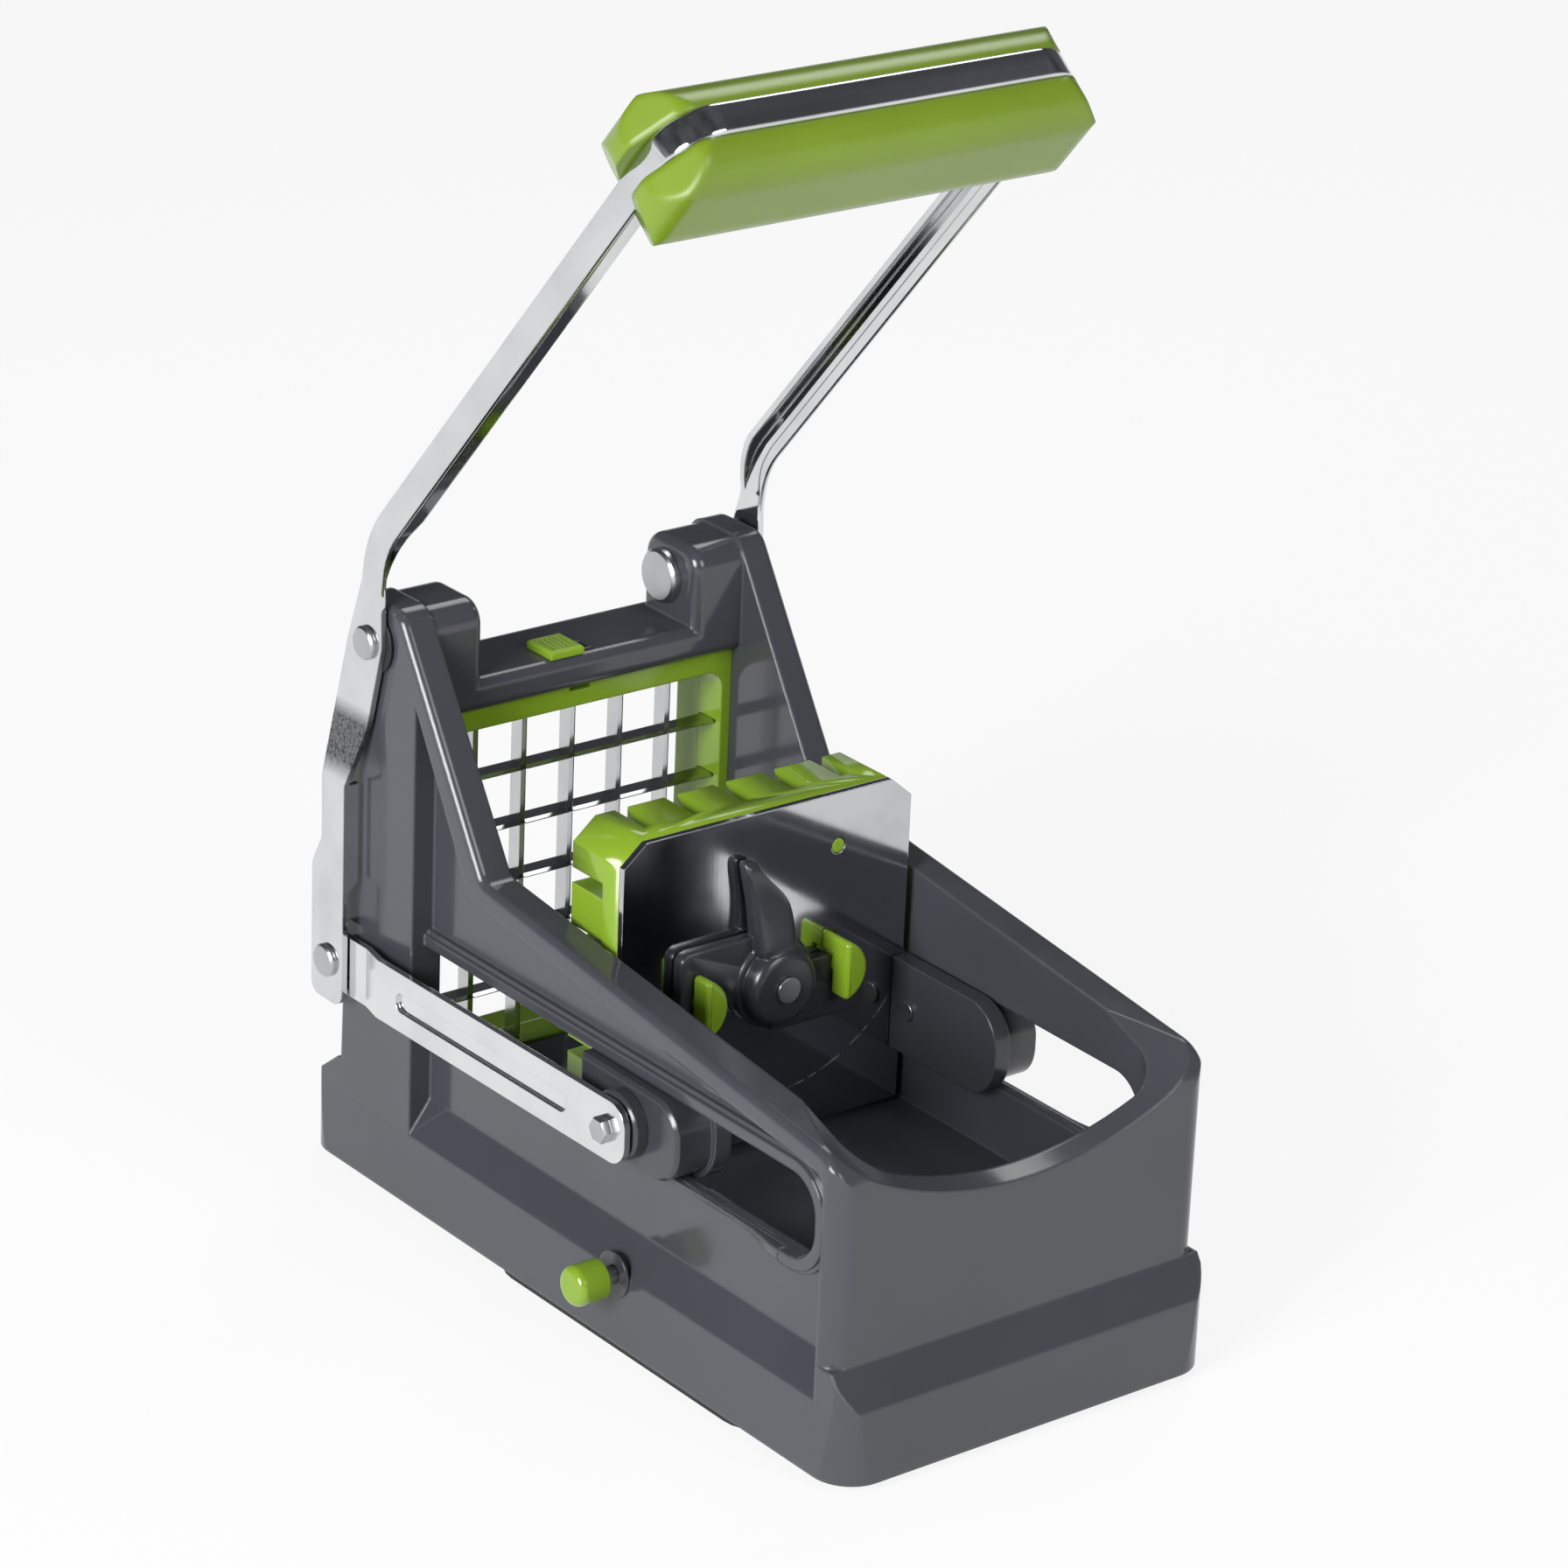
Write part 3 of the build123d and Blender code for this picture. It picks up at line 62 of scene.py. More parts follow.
# Faces that meet flatter than this are shaded as one.
SMOOTH = math.radians(35)
RIGHT = Vector((1.0, 0.0, 0.0))
FRONT = Vector((0.0, -1.0, 0.0))
UP = Vector((0.0, 0.0, 1.0))
# Rotations that lay a primitive's axis along Y or X.
ALONG_Y = (math.pi / 2, 0.0, 0.0)
ALONG_X = (0.0, math.pi / 2, 0.0)

Tree = bpy.types.NodeTree
Socket = bpy.types.NodeSocket
Piece = bpy.types.Object
Triple = tuple[float, float, float]


def linear(code: str) -> tuple[float, float, float, float]:
    """Turn an sRGB hex colour into linear light.

    Args:
        code: six hex digits after a hash sign.

    Returns:
        Red, green, blue and a full alpha.
    """
    parts = [int(code[i:i + 2], 16) / 255 for i in (1, 3, 5)]
    light = (c / 12.92 if c <= 0.04045 else ((c + 0.055) / 1.055) ** 2.4 for c in parts)
    return tuple(light) + (1.0,)


def add(tree: Tree, kind: str, inputs: Optional[Mapping[Any, Any]] = None,
        **settings: Any) -> bpy.types.Node:
    """Add a node to a tree, with its settings and its links.

    Args:
        tree: the node tree of a material or of the world.
        kind: the node's type without its prefix.
        inputs: input socket name or number, with a value or a socket to link from.
        **settings: attributes of the node itself.

    Returns:
        The new node.
    """
    made = tree.nodes.new("ShaderNode" + kind)
    for name, value in settings.items():
        setattr(made, name, value)
    for key, value in (inputs or {}).items():
        if isinstance(value, Socket):
            tree.links.new(value, made.inputs[key])
        else:
            made.inputs[key].default_value = value
    return made


def ramp(tree: Tree, value: Socket, span: Sequence[float], result: Sequence[float]) -> Socket:
    """Map a value from one range to another, held at both ends.

    Args:
        tree: the node tree.
        value: what is mapped.
        span: the two values that it goes from and to.
        result: what the mapping gives at those two.

    Returns:
        The mapped value.
    """
    ends = {0: value, 1: span[0], 2: span[1], 3: result[0], 4: result[1]}
    return add(tree, "MapRange", ends).outputs[0]


def work(tree: Tree, how: str, *values: Union[float, Socket]) -> Socket:
    """Work out one step of arithmetic.

    Args:
        tree: the node tree.
        how: name of the operation.
        *values: numbers or sockets that it takes.

    Returns:
        The result.
    """
    return add(tree, "Math", dict(enumerate(values)), operation=how).outputs[0]


def noise(tree: Tree, place: Socket, width: float, detail: float) -> Socket:
    """Lay a noise over coordinates in metres.

    Args:
        tree: the node tree.
        place: the coordinates.
        width: width of its clouds in millimetres.
        detail: how many finer layers it has.

    Returns:
        The noise, about 0.5 on average.
    """
    scale = 1.0 / (width * MM)
    return add(tree, "TexNoise", {"Vector": place, "Scale": scale, "Detail": detail}).outputs[0]


def mix(tree: Tree, share: Socket, first: Any, second: Any) -> Socket:
    """Mix two colours.

    Args:
        tree: the node tree.
        share: share of the second colour.
        first: colour where the share is 0.
        second: colour where the share is 1.

    Returns:
        The mixed colour.
    """
    return add(tree, "Mix", {0: share, 6: first, 7: second}, data_type="RGBA").outputs[2]


def split(tree: Tree, vector: Socket) -> bpy.types.NodeOutputs:
    """X, Y and Z of a vector, by name."""
    return add(tree, "SeparateXYZ", {0: vector}).outputs


def looked_at(tree: Tree) -> Socket:
    """1 for rays of the camera, of reflections and through things, and 0 for gathered light."""
    path = add(tree, "LightPath").outputs
    direct = work(tree, "MAXIMUM", path["Is Camera Ray"], path["Is Glossy Ray"])
    return work(tree, "MAXIMUM", direct, path["Is Transmission Ray"])


def blank(name: str) -> tuple[bpy.types.Material, Tree]:
    """Make a material without nodes, and return it with its tree."""
    made = bpy.data.materials.new(name)
    made.use_nodes = True
    made.node_tree.nodes.clear()
    return made, made.node_tree


class Band(Enum):
    """A zone that wear, pitting and painted shade keep to, as heights in millimetres."""

    SLOT_LEDGE = (42.6, 43.6)
    LEVER_JOGGLE = (95.0, 112.0)


@dataclass(frozen=True)
class Arc:
    """A scratched arc in an upright plane: X and Z of its middle and its radius in millimetres."""

    x: float
    z: float
    radius: float


@dataclass(frozen=True)
class Finish:
    """What a piece is made of and how its surface was made.

    Attributes:
        name: name of the material.
        colour: main colour.
    """

    name: str
    colour: str

    def wire(self, tree: Tree) -> None:
        """Lay the nodes."""
        raise NotImplementedError

    def material(self) -> bpy.types.Material:
        """Build the material, or return it where it is already there."""
        found = bpy.data.materials.get(self.name)
        if found:
            return found
        made, tree = blank(self.name)
        self.wire(tree)
        return made


@dataclass(frozen=True)
class MouldedPlastic(Finish):
    """Gloss plastic as it comes from a polished mould.

    Attributes:
        pale: colour of rubbed edges.
        roughness: gloss of the mould's polish.
        cloud: width of the faint flow clouds in millimetres.
        peel: width of the ripple in the moulded skin in millimetres.
        peel_depth: height of that ripple in millimetres.
        edge: radius of the mould's edge breaks in millimetres.
        rubbing: how pale the rubbed edges are, from 0 to 1.
        smears: how much rougher the handled places are.
        scuffs: zone with sliding scratches, where there is one.
        scuff_width: width of the scratches' noise in millimetres.
    """

    pale: str
    roughness: float = 0.11
    cloud: float = 38.0
    peel: float = 5.0
    peel_depth: float = 0.3
    edge: float = 0.6
    rubbing: float = 0.3
    smears: float = 1.5
    scuffs: Optional[Band] = None
    scuff_width: float = 0.7

    def scratches(self, tree: Tree, place: Socket, flat: Socket) -> Socket:
        """Lay short scratches along Y, on what looks straight up in the zone.

        Args:
            tree: the node tree.
            place: object coordinates.
            flat: the surface's own normal.

        Returns:
            Share of the scratches.
        """
        low, high = (z * MM for z in self.scuffs.value)
        drawn = add(tree, "Mapping", {"Vector": place, "Scale": (1.0, 0.06, 1.0)}).outputs[0]
        lines = noise(tree, drawn, self.scuff_width, 3.0)
        height = split(tree, place)["Z"]
        above = work(tree, "GREATER_THAN", height, low)
        below = work(tree, "LESS_THAN", height, high)
        facing = work(tree, "GREATER_THAN", split(tree, flat)["Z"], 0.9)
        zone = work(tree, "MULTIPLY", work(tree, "MULTIPLY", above, below), facing)
        thin = ramp(tree, lines, (0.6, 0.68), (0.0, 0.5))
        return work(tree, "MULTIPLY", thin, zone)

    def wire(self, tree: Tree) -> None:
        """Lay the nodes."""
        # A polished mould gives a deep even gloss. The skin ripples very slightly and the handled
        # places are a little duller, so reflections wander instead of standing still.
        place = add(tree, "TexCoord").outputs["Object"]
        cloud = noise(tree, place, self.cloud, 2.0)
        smear = noise(tree, place, self.cloud / 4, 4.0)
        peel = noise(tree, place, self.peel, 1.0)
        # The mould's edges are broken to a small radius, which catches a thin light line, and they
        # are rubbed a little paler.
        edge = add(tree, "Bevel", {"Radius": self.edge * MM}, samples=6).outputs["Normal"]
        flat = add(tree, "NewGeometry").outputs["Normal"]
        turn = add(tree, "VectorMath", {0: edge, 1: flat}, operation="DOT_PRODUCT").outputs["Value"]
        rubbed = ramp(tree, turn, (0.99, 0.72), (0.0, self.rubbing))
        tone = ramp(tree, cloud, (0.3, 0.7), (0.94, 1.05))
        tinted = add(tree, "VectorMath", {0: linear(self.colour)[:3], "Scale": tone},
                     operation="SCALE").outputs[0]
        colour = mix(tree, rubbed, tinted, linear(self.pale))
        gloss = ramp(tree, smear, (0.35, 0.75), (self.roughness, self.roughness * self.smears))
        if self.scuffs:
            # Sliding blocks leave short pale scratches along their run, about 0.4 mm wide.
            colour = mix(tree, self.scratches(tree, place, flat), colour, linear(self.pale))
        bump = add(tree, "Bump", {"Strength": 0.05, "Distance": self.peel_depth * MM,
                                  "Height": peel, "Normal": edge})
        shader = add(tree, "BsdfPrincipled", {"Base Color": colour, "Roughness": gloss,
                                              "IOR": 1.54, "Normal": bump.outputs[0]})
        add(tree, "OutputMaterial", {0: shader.outputs[0]})


@dataclass(frozen=True)
class SteelSurface(Finish):
    """Steel with a plated or rolled surface.

    Attributes:
        dull: colour in the dull clouds.
        roughness: roughness of the clean surface.
        smear: how much the handling marks add to it.
        cloud: width of the handling marks in millimetres.
        line: spacing of the drawn or rolled lines in millimetres.
        stretch: size of the lines along X, Y and Z against their spacing.
        line_depth: strength of the lines.
        edge: radius of the pressed edges in millimetres.
        pitted_painted_shade: zone painted dark as painted shade, the dim room's reflection, and
            speckled with pitting, where there is one.
        pit: width of the pitting's speckles in millimetres.
        pit_and_painted_shade_colour: colour of the painted shade and the pitting.
        pit_and_painted_shade_colour: colour of the thin plating.
        fade: length of that zone's fading ends in millimetres.
        arc: arc that a turning piece has scratched, where there is one.
    """

    dull: str
    roughness: float
    smear: float = 0.06
    cloud: float = 14.0
    line: float = 0.6
    stretch: Triple = (1.0, 1.0, 0.03)
    line_depth: float = 0.02
    edge: float = 0.3
    pitted_painted_shade: Optional[Band] = None
    pit: float = 0.6
    pit_and_painted_shade_colour: str = "#3A3B3D"
    fade: float = 4.0
    arc: Optional[Arc] = None

    def pitting_and_painted_shade(self, tree: Tree, place: Socket) -> Socket:
        """Paint the zone dark and speckle it with pitting; the dark is painted shade, the dim
        room's reflection.

        Args:
            tree: the node tree.
            place: object coordinates.

        Returns:
            Share of the painted shade and the pitting.
        """
        low, high = (z * MM for z in self.pitted_painted_shade.value)
        fade = self.fade * MM
        height = split(tree, place)["Z"]
        rise = ramp(tree, height, (low, low + fade), (0.0, 1.0))
        fall = ramp(tree, height, (high - fade, high), (1.0, 0.0))
        dark = ramp(tree, noise(tree, place, self.pit, 3.0), (0.4, 0.68), (0.7, 0.97))
        return work(tree, "MULTIPLY", dark, work(tree, "MULTIPLY", rise, fall))

    def arc_line(self, tree: Tree, place: Socket) -> Socket:
        """Draw the lower right quarter of the arc, broken along its run.

        Args:
            tree: the node tree.
            place: object coordinates.

        Returns:
            Share of the scratch.
        """
        middle = (self.arc.x * MM, 0.0, self.arc.z * MM)
        around = add(tree, "VectorMath", {0: place, 1: middle}, operation="SUBTRACT").outputs[0]
        parts = split(tree, around)
        level = add(tree, "CombineXYZ", {0: parts["X"], 2: parts["Z"]}).outputs[0]
        reach = add(tree, "VectorMath", {0: level}, operation="LENGTH").outputs["Value"]
        off = work(tree, "ABSOLUTE", work(tree, "SUBTRACT", reach, self.arc.radius * MM))
        thin = ramp(tree, off, (0.1 * MM, 0.3 * MM), (1.0, 0.0))
        broken = ramp(tree, noise(tree, place, 3.0, 4.0), (0.42, 0.55), (0.0, 1.0))
        lower = work(tree, "LESS_THAN", parts["Z"], 0.0)
        right = ramp(tree, parts["X"], (2 * MM, 9 * MM), (0.0, 1.0))
        line = work(tree, "MULTIPLY", thin, broken)
        return work(tree, "MULTIPLY", line, work(tree, "MULTIPLY", lower, right))

    def wire(self, tree: Tree) -> None:
        """Lay the nodes."""
        # Bright steel shows the room. Fine lines of the rolling and faint smears of handling
        # break that picture up, and the pressed edges are round enough to carry a highlight.
        place = add(tree, "TexCoord").outputs["Object"]
        cloud = noise(tree, place, self.cloud, 3.0)
        drawn = add(tree, "Mapping", {"Vector": place, "Scale": self.stretch}).outputs[0]
        lines = noise(tree, drawn, self.line, 2.0)
        rough = ramp(tree, cloud, (0.35, 0.7), (self.roughness, self.roughness + self.smear))
        dull = ramp(tree, cloud, (0.4, 0.8), (0.0, 0.6))
        colour = mix(tree, dull, linear(self.colour), linear(self.dull))
        if self.pitted_painted_shade:
            # Painted shade: the band over the joggle is painted dark, like the dim room it
            # reflects, and speckled with pitting.
            pitting_and_painted_shade = self.pitting_and_painted_shade(tree, place)
            colour = mix(tree, pitting_and_painted_shade, colour, linear(self.pit_and_painted_shade_colour))
            rough = work(tree, "MULTIPLY_ADD", pitting_and_painted_shade, 0.3, rough)
        if self.arc:
            # A turning hook has scratched a thin arc, about 0.5 mm wide, which scatters light.
            rough = work(tree, "MULTIPLY_ADD", self.arc_line(tree, place), 0.55, rough)
        edge = add(tree, "Bevel", {"Radius": self.edge * MM}, samples=6).outputs["Normal"]
        bump = add(tree, "Bump", {"Strength": self.line_depth, "Distance": 0.1 * MM,
                                  "Height": lines, "Normal": edge})
        shader = add(tree, "BsdfPrincipled", {"Base Color": colour, "Metallic": 1.0,
                                              "Roughness": rough, "Normal": bump.outputs[0]})
        add(tree, "OutputMaterial", {0: shader.outputs[0]})


@dataclass(frozen=True)
class MouldedRubber(Finish):
    """Black rubber from a blasted mould.

    Attributes:
        dust: colour of the bloom on it.
        bloom: width of the patches of bloom in millimetres.
        grain: width of the moulded grain in millimetres.
    """

    dust: str
    bloom: float = 9.0
    grain: float = 0.5

    def wire(self, tree: Tree) -> None:
        """Lay the nodes."""
        # Blasted mould steel leaves a fine matt grain, with a grey bloom in soft patches.
        place = add(tree, "TexCoord").outputs["Object"]
        bloom = noise(tree, place, self.bloom, 4.0)
        grain = noise(tree, place, self.grain, 2.0)
        share = ramp(tree, bloom, (0.4, 0.8), (0.0, 0.4))
        tone = mix(tree, share, linear(self.colour), linear(self.dust))
        bump = add(tree, "Bump", {"Strength": 0.3, "Distance": 0.1 * MM, "Height": grain})
        rough = ramp(tree, bloom, (0.3, 0.8), (0.6, 0.8))
        shader = add(tree, "BsdfPrincipled", {"Base Color": tone, "Roughness": rough, "IOR": 1.52,
                                              "Normal": bump.outputs[0]})
        add(tree, "OutputMaterial", {0: shader.outputs[0]})


BODY_ABS = MouldedPlastic("abs_grey_moulded", "#424349", "#7C7D82", edge=1.0, rubbing=0.2,
                          scuffs=Band.SLOT_LEDGE)
GREEN_ABS = MouldedPlastic("abs_lime_moulded", "#7E9E28", "#A9C65A", roughness=0.14)
GRIP_ABS = MouldedPlastic("abs_lime_moulded_grip", "#728C22", "#A9C65A", roughness=0.24, edge=2.2,
                          rubbing=0.06, smears=1.1)
SLIDER_NYLON = MouldedPlastic("nylon_dark_grey_moulded", "#3A3B40", "#6C6D72", roughness=0.18)
# A darker copy of the grey nylon for the lock lever: painted shade for the dim room it faces.
LOCK_NYLON_PAINTED_SHADE = MouldedPlastic("nylon_grey_moulded_painted_shade", "#2E2F34", "#5A5B60", roughness=0.2,
                            rubbing=0.2)
# Painted shade: the chrome is painted dark and speckled on the band over the lever's joggle.
CHROME = SteelSurface("steel_chrome_plated", "#D9DBDD", "#BFC1C4", 0.05, smear=0.05, edge=0.6,
                      pitted_painted_shade=Band.LEVER_JOGGLE)
MIRROR_SHEET = SteelSurface("stainless_sheet_polished", "#C4C5C8", "#AEB0B3", 0.07,
                            stretch=(1.0, 1.0, 0.02), arc=Arc(3.1, 77.4, 38.6))
BLADE_STRIP = SteelSurface("stainless_strip_rolled", "#C9CACB", "#B2B3B5", 0.16, edge=0.12)
NICKEL_STRIP = SteelSurface("steel_nickel_plated", "#E2E3E5", "#CFD0D3", 0.12,
                            stretch=(1.0, 0.03, 1.0))
ZINC_PIN = SteelSurface("steel_zinc_plated", "#BDBEC0", "#A2A3A6", 0.24, smear=0.12,
                        stretch=(1.0, 1.0, 1.0))
BLACK_STEEL = SteelSurface("steel_blackened", "#4A4B4F", "#3A3B3E", 0.35, stretch=(1.0, 1.0, 1.0))
SPRING_WIRE = SteelSurface("steel_spring_wire", "#9A9B9D", "#7E7F82", 0.3, edge=0.1)
PAD_RUBBER = MouldedRubber("rubber_black_moulded", "#161617", "#3A3A3B")


def dress(names: Sequence[str], finish: Finish) -> None:
    """Give CAD nodes their finish.

    Args:
        names: the nodes.
        finish: what they are made of.
    """
    for name in names:
        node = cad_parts[name]
        if not node.material_slots:
            node.data.materials.append(None)
        for place in node.material_slots:
            place.material = finish.material()
        LOG.info("%s in %s", name, finish.name)


def both(stem: str) -> list[str]:
    """Names of the right and left node of a pair."""
    return [stem + "_right", stem + "_left"]


class Join(Enum):
    """What is done with a second shape."""

    UNION = "UNION"
    DIFFERENCE = "DIFFERENCE"


class Rounded(Enum):
    """What is rounded off."""

    EDGES = "EDGES"
    CORNERS = "VERTICES"


def edit_mode(on: bool) -> None:
    """Go into edit mode, or back to object mode."""
    bpy.ops.object.mode_set(mode="EDIT" if on else "OBJECT")


def start(name: str) -> Piece:
    """Name the primitive that was just added, and open it for shaping.

    Args:
        name: name of the new piece.

    Returns:
        The piece, in edit mode with nothing selected.
    """
    piece = bpy.context.object
    piece.name = name
    bpy.ops.object.transform_apply(location=True, rotation=True, scale=True)
    edit_mode(True)
    bpy.ops.mesh.select_mode(type="VERT")
    bpy.ops.mesh.select_all(action="DESELECT")
    return piece


def rod(name: str, radius: float, length: float, middle: Sequence[float], turn: Triple,
        sides: int) -> Piece:
    """Add a rod or a prism as the start of a shape.

    Args:
        name: name of the shape.
        radius: radius of its corners in millimetres.
        length: its length in millimetres.
        middle: its middle in metres.
        turn: its rotation.
        sides: number of its sides.

    Returns:
        The shape, in edit mode with nothing selected.
    """
    bpy.ops.object.select_all(action="DESELECT")
    bpy.ops.mesh.primitive_cylinder_add(vertices=sides, radius=radius * MM, depth=length * MM,
                                        location=middle, rotation=turn)
    return start(name)


def section(name: str, width: float, height: float, middle: Sequence[float],
            turn: Triple) -> Piece:
    """Add a flat rectangle that a shape is drawn out from.

    Args:
        name: name of the shape.
        width: size along its own X in millimetres.
        height: size along its own Y in millimetres.
        middle: its middle in metres.
        turn: its rotation.

    Returns:
        The shape, in edit mode with nothing selected.
    """
    bpy.ops.object.select_all(action="DESELECT")
    bpy.ops.mesh.primitive_plane_add(size=MM, location=middle, rotation=turn)
    bpy.context.object.scale = (width, height, 1.0)
    return start(name)


def extrude(way: Sequence[float]) -> None:
    """Draw the selected faces out, by a way in metres."""
    bpy.ops.mesh.extrude_region_move(TRANSFORM_OT_translate={"value": way})


def inset(width: float) -> None:
    """Inset the selected faces, by a width in millimetres."""
    bpy.ops.mesh.inset(thickness=width * MM)


def round_off(width: float, segments: int, what: Rounded = Rounded.EDGES) -> None:
    """Round the selected edges or corners off.

    Args:
        width: how far the round reaches, in millimetres.
        segments: number of its facets.
        what: edges or corners.
    """
    bpy.ops.mesh.bevel(offset=width * MM, segments=segments, affect=what.value)


def select_faces() -> None:
    """Select all faces, in edit mode."""
    bpy.ops.mesh.select_mode(type="FACE")
    bpy.ops.mesh.select_all(action="SELECT")


def clear_picks(kind: str) -> None:
    """Select nothing, in a select mode, and go to object mode for picking."""
    bpy.ops.mesh.select_mode(type=kind)
    bpy.ops.mesh.select_all(action="DESELECT")
    edit_mode(False)


def pick_corners(piece: Piece, test: Callable[[Vector], bool]) -> None:
    """Select corners of a piece by their place, in edit mode.

    Args:
        piece: the piece that is being shaped.
        test: tells from the place of a corner whether it is wanted.
    """
    clear_picks("VERT")
    for corner in piece.data.vertices:
        corner.select = test(corner.co)
    edit_mode(True)


def pick_edges(piece: Piece, test: Callable[[Vector, Vector], bool]) -> None:
    """Select edges of a piece by their two ends, in edit mode.

    Args:
        piece: the piece that is being shaped.
        test: tells from the ends of an edge whether it is wanted.
    """
    clear_picks("EDGE")
    for edge in piece.data.edges:
        edge.select = test(*(piece.data.vertices[i].co for i in edge.vertices))
    edit_mode(True)


def pick_faces(piece: Piece, way: Vector, least: float = 0.9) -> None:
    """Select the faces of a piece that look one way, in edit mode.

    Args:
        piece: the piece that is being shaped.
        way: direction that the faces look.
        least: smallest cosine between a face and that direction.
    """
    clear_picks("FACE")
    for face in piece.data.polygons:
        face.select = face.normal.dot(way) > least
    edit_mode(True)


def copy_node(node: str, name: str) -> Piece:
    """Copy the mesh of a CAD node as the start of a new piece.

    Args:
        node: the CAD node, which stays as it is.
        name: name of the new piece.

    Returns:
        The piece, in edit mode with its doubles merged and all of it selected.
    """
    bpy.ops.object.select_all(action="DESELECT")
    piece = bpy.data.objects.new(name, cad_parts[node].data.copy())
    bpy.context.collection.objects.link(piece)
    bpy.context.view_layer.objects.active = piece
    piece.select_set(True)
    edit_mode(True)
    bpy.ops.mesh.select_all(action="SELECT")
    bpy.ops.mesh.remove_doubles(threshold=2 * WELD)
    return piece


def cut_away(place: Vector, way: Vector) -> None:
    """Cut off what lies beyond a plane, in edit mode, and close the cut.

    Args:
        place: a point of the plane in metres.
        way: the side that goes.
    """
    bpy.ops.mesh.select_all(action="SELECT")
    bpy.ops.mesh.bisect(plane_co=place, plane_no=way, use_fill=True, clear_outer=True,
                        threshold=WELD)
    bpy.ops.mesh.select_all(action="SELECT")


def merge(piece: Piece, other: Piece, how: Join) -> None:
    """Join another shape to a piece, or cut it out, and remove that shape.

    Args:
        piece: the piece that stays, in object mode.
        other: the shape that is used up.
        how: whether it is joined or cut out.
    """
    cut = piece.modifiers.new("merge", "BOOLEAN")
    cut.operation = how.value
    cut.solver = "EXACT"
    cut.object = other
    bpy.ops.object.select_all(action="DESELECT")
    bpy.context.view_layer.objects.active = piece
    piece.select_set(True)
    bpy.ops.object.modifier_apply(modifier="merge")
    bpy.data.objects.remove(other, do_unlink=True)


def close(piece: Piece, finish: Finish, body: str) -> None:
    """End a piece's shaping, and give it its finish and the body that carries it.

    Args:
        piece: the piece, in edit mode.
        finish: what it is made of.
        body: CAD body that it moves with.
    """
    bpy.ops.mesh.select_all(action="SELECT")
    bpy.ops.mesh.remove_doubles(threshold=WELD)
    bpy.ops.mesh.normals_make_consistent(inside=False)
    edit_mode(False)
    bpy.ops.object.shade_smooth_by_angle(angle=SMOOTH)
    piece.data.materials.clear()
    piece.data.materials.append(finish.material())
    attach(piece, body)
    bpy.ops.object.select_all(action="DESELECT")
    LOG.info("%s made of %s", piece.name, finish.name)


def mirrored(piece: Piece, name: str, body: str) -> Piece:
    """Copy a piece of the right side to the left side, with a mesh of its own.

    Args:
        piece: the finished piece.
        name: name of the copy.
        body: CAD body that the copy moves with.

    Returns:
        The copy.
    """
    twin = piece.copy()
    twin.data = piece.data.copy()
    twin.name = name
    bpy.context.collection.objects.link(twin)
    twin.data.transform(Matrix.Scale(-1.0, 4, RIGHT))
    twin.data.flip_normals()
    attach(twin, body)
    LOG.info("%s copied", name)
    return twin


@dataclass
class Housing:
    """The grey moulding with its slot beads, and the plate under it with its screws."""

    wall: float = 42.4
    bead_back: float = 44.7
    bead_low: float = 39.6
    bead_high: float = 42.95
    bead_round: float = 1.6
    tail_start: float = -67.15
    tail: float = 15.0
    tail_steps: int = 8
    tail_share: float = 0.36
    lip_end: float = 59.0

    def build_bead_tails(self) -> None:
        """Run the bead of a side slot out into a thin lip along the slot, and copy it across."""
        across, level = (self.wall + self.bead_back) / 2, (self.bead_low + self.bead_high) / 2
        tail = section("slot_bead_tail_right", self.bead_back - self.wall,
                       self.bead_high - self.bead_low,
                       Vector((across, self.tail_start, level)) * MM, ALONG_Y)
        pick_corners(tail, lambda corner: corner.x > across * MM and corner.z < level * MM)
        round_off(self.bead_round, segments=5, what=Rounded.CORNERS)
        select_faces()
        step = self.tail / self.tail_steps
        share, place = 1.0, self.tail_start
        for count in range(1, self.tail_steps + 1):
            fall = (1.0 - math.cos(math.pi * count / self.tail_steps)) / 2
            smaller = 1.0 - (1.0 - self.tail_share) * fall
            place += step
            extrude((0.0, step * MM, 0.0))
            bpy.ops.transform.resize(
                value=(smaller / share, 1.0, smaller / share),
                center_override=Vector((self.wall, place, self.bead_high)) * MM)
            share = smaller
        extrude((0.0, (self.lip_end - place) * MM, 0.0))
        close(tail, BODY_ABS, "base")
        mirrored(tail, "slot_bead_tail_left", "base")

    def dress(self) -> None:
        """Finish the moulding and its plate."""
        dress(["body"], BODY_ABS)
        dress(["base_plate"], SLIDER_NYLON)
        dress(["base_screws"], ZINC_PIN)


@dataclass
class BladeCassette:
    """The green frame with its two rows of blades, and the button that holds it."""

    blades: int = 5

    def dress(self) -> None:
        """Finish the frame halves, the blades and the button."""
        dress(["blade_frame_front", "blade_frame_rear", "latch_button"], GREEN_ABS)
        for row in ("upright", "level"):
            dress([f"{row}_blade_{i + 1}" for i in range(self.blades)], BLADE_STRIP)


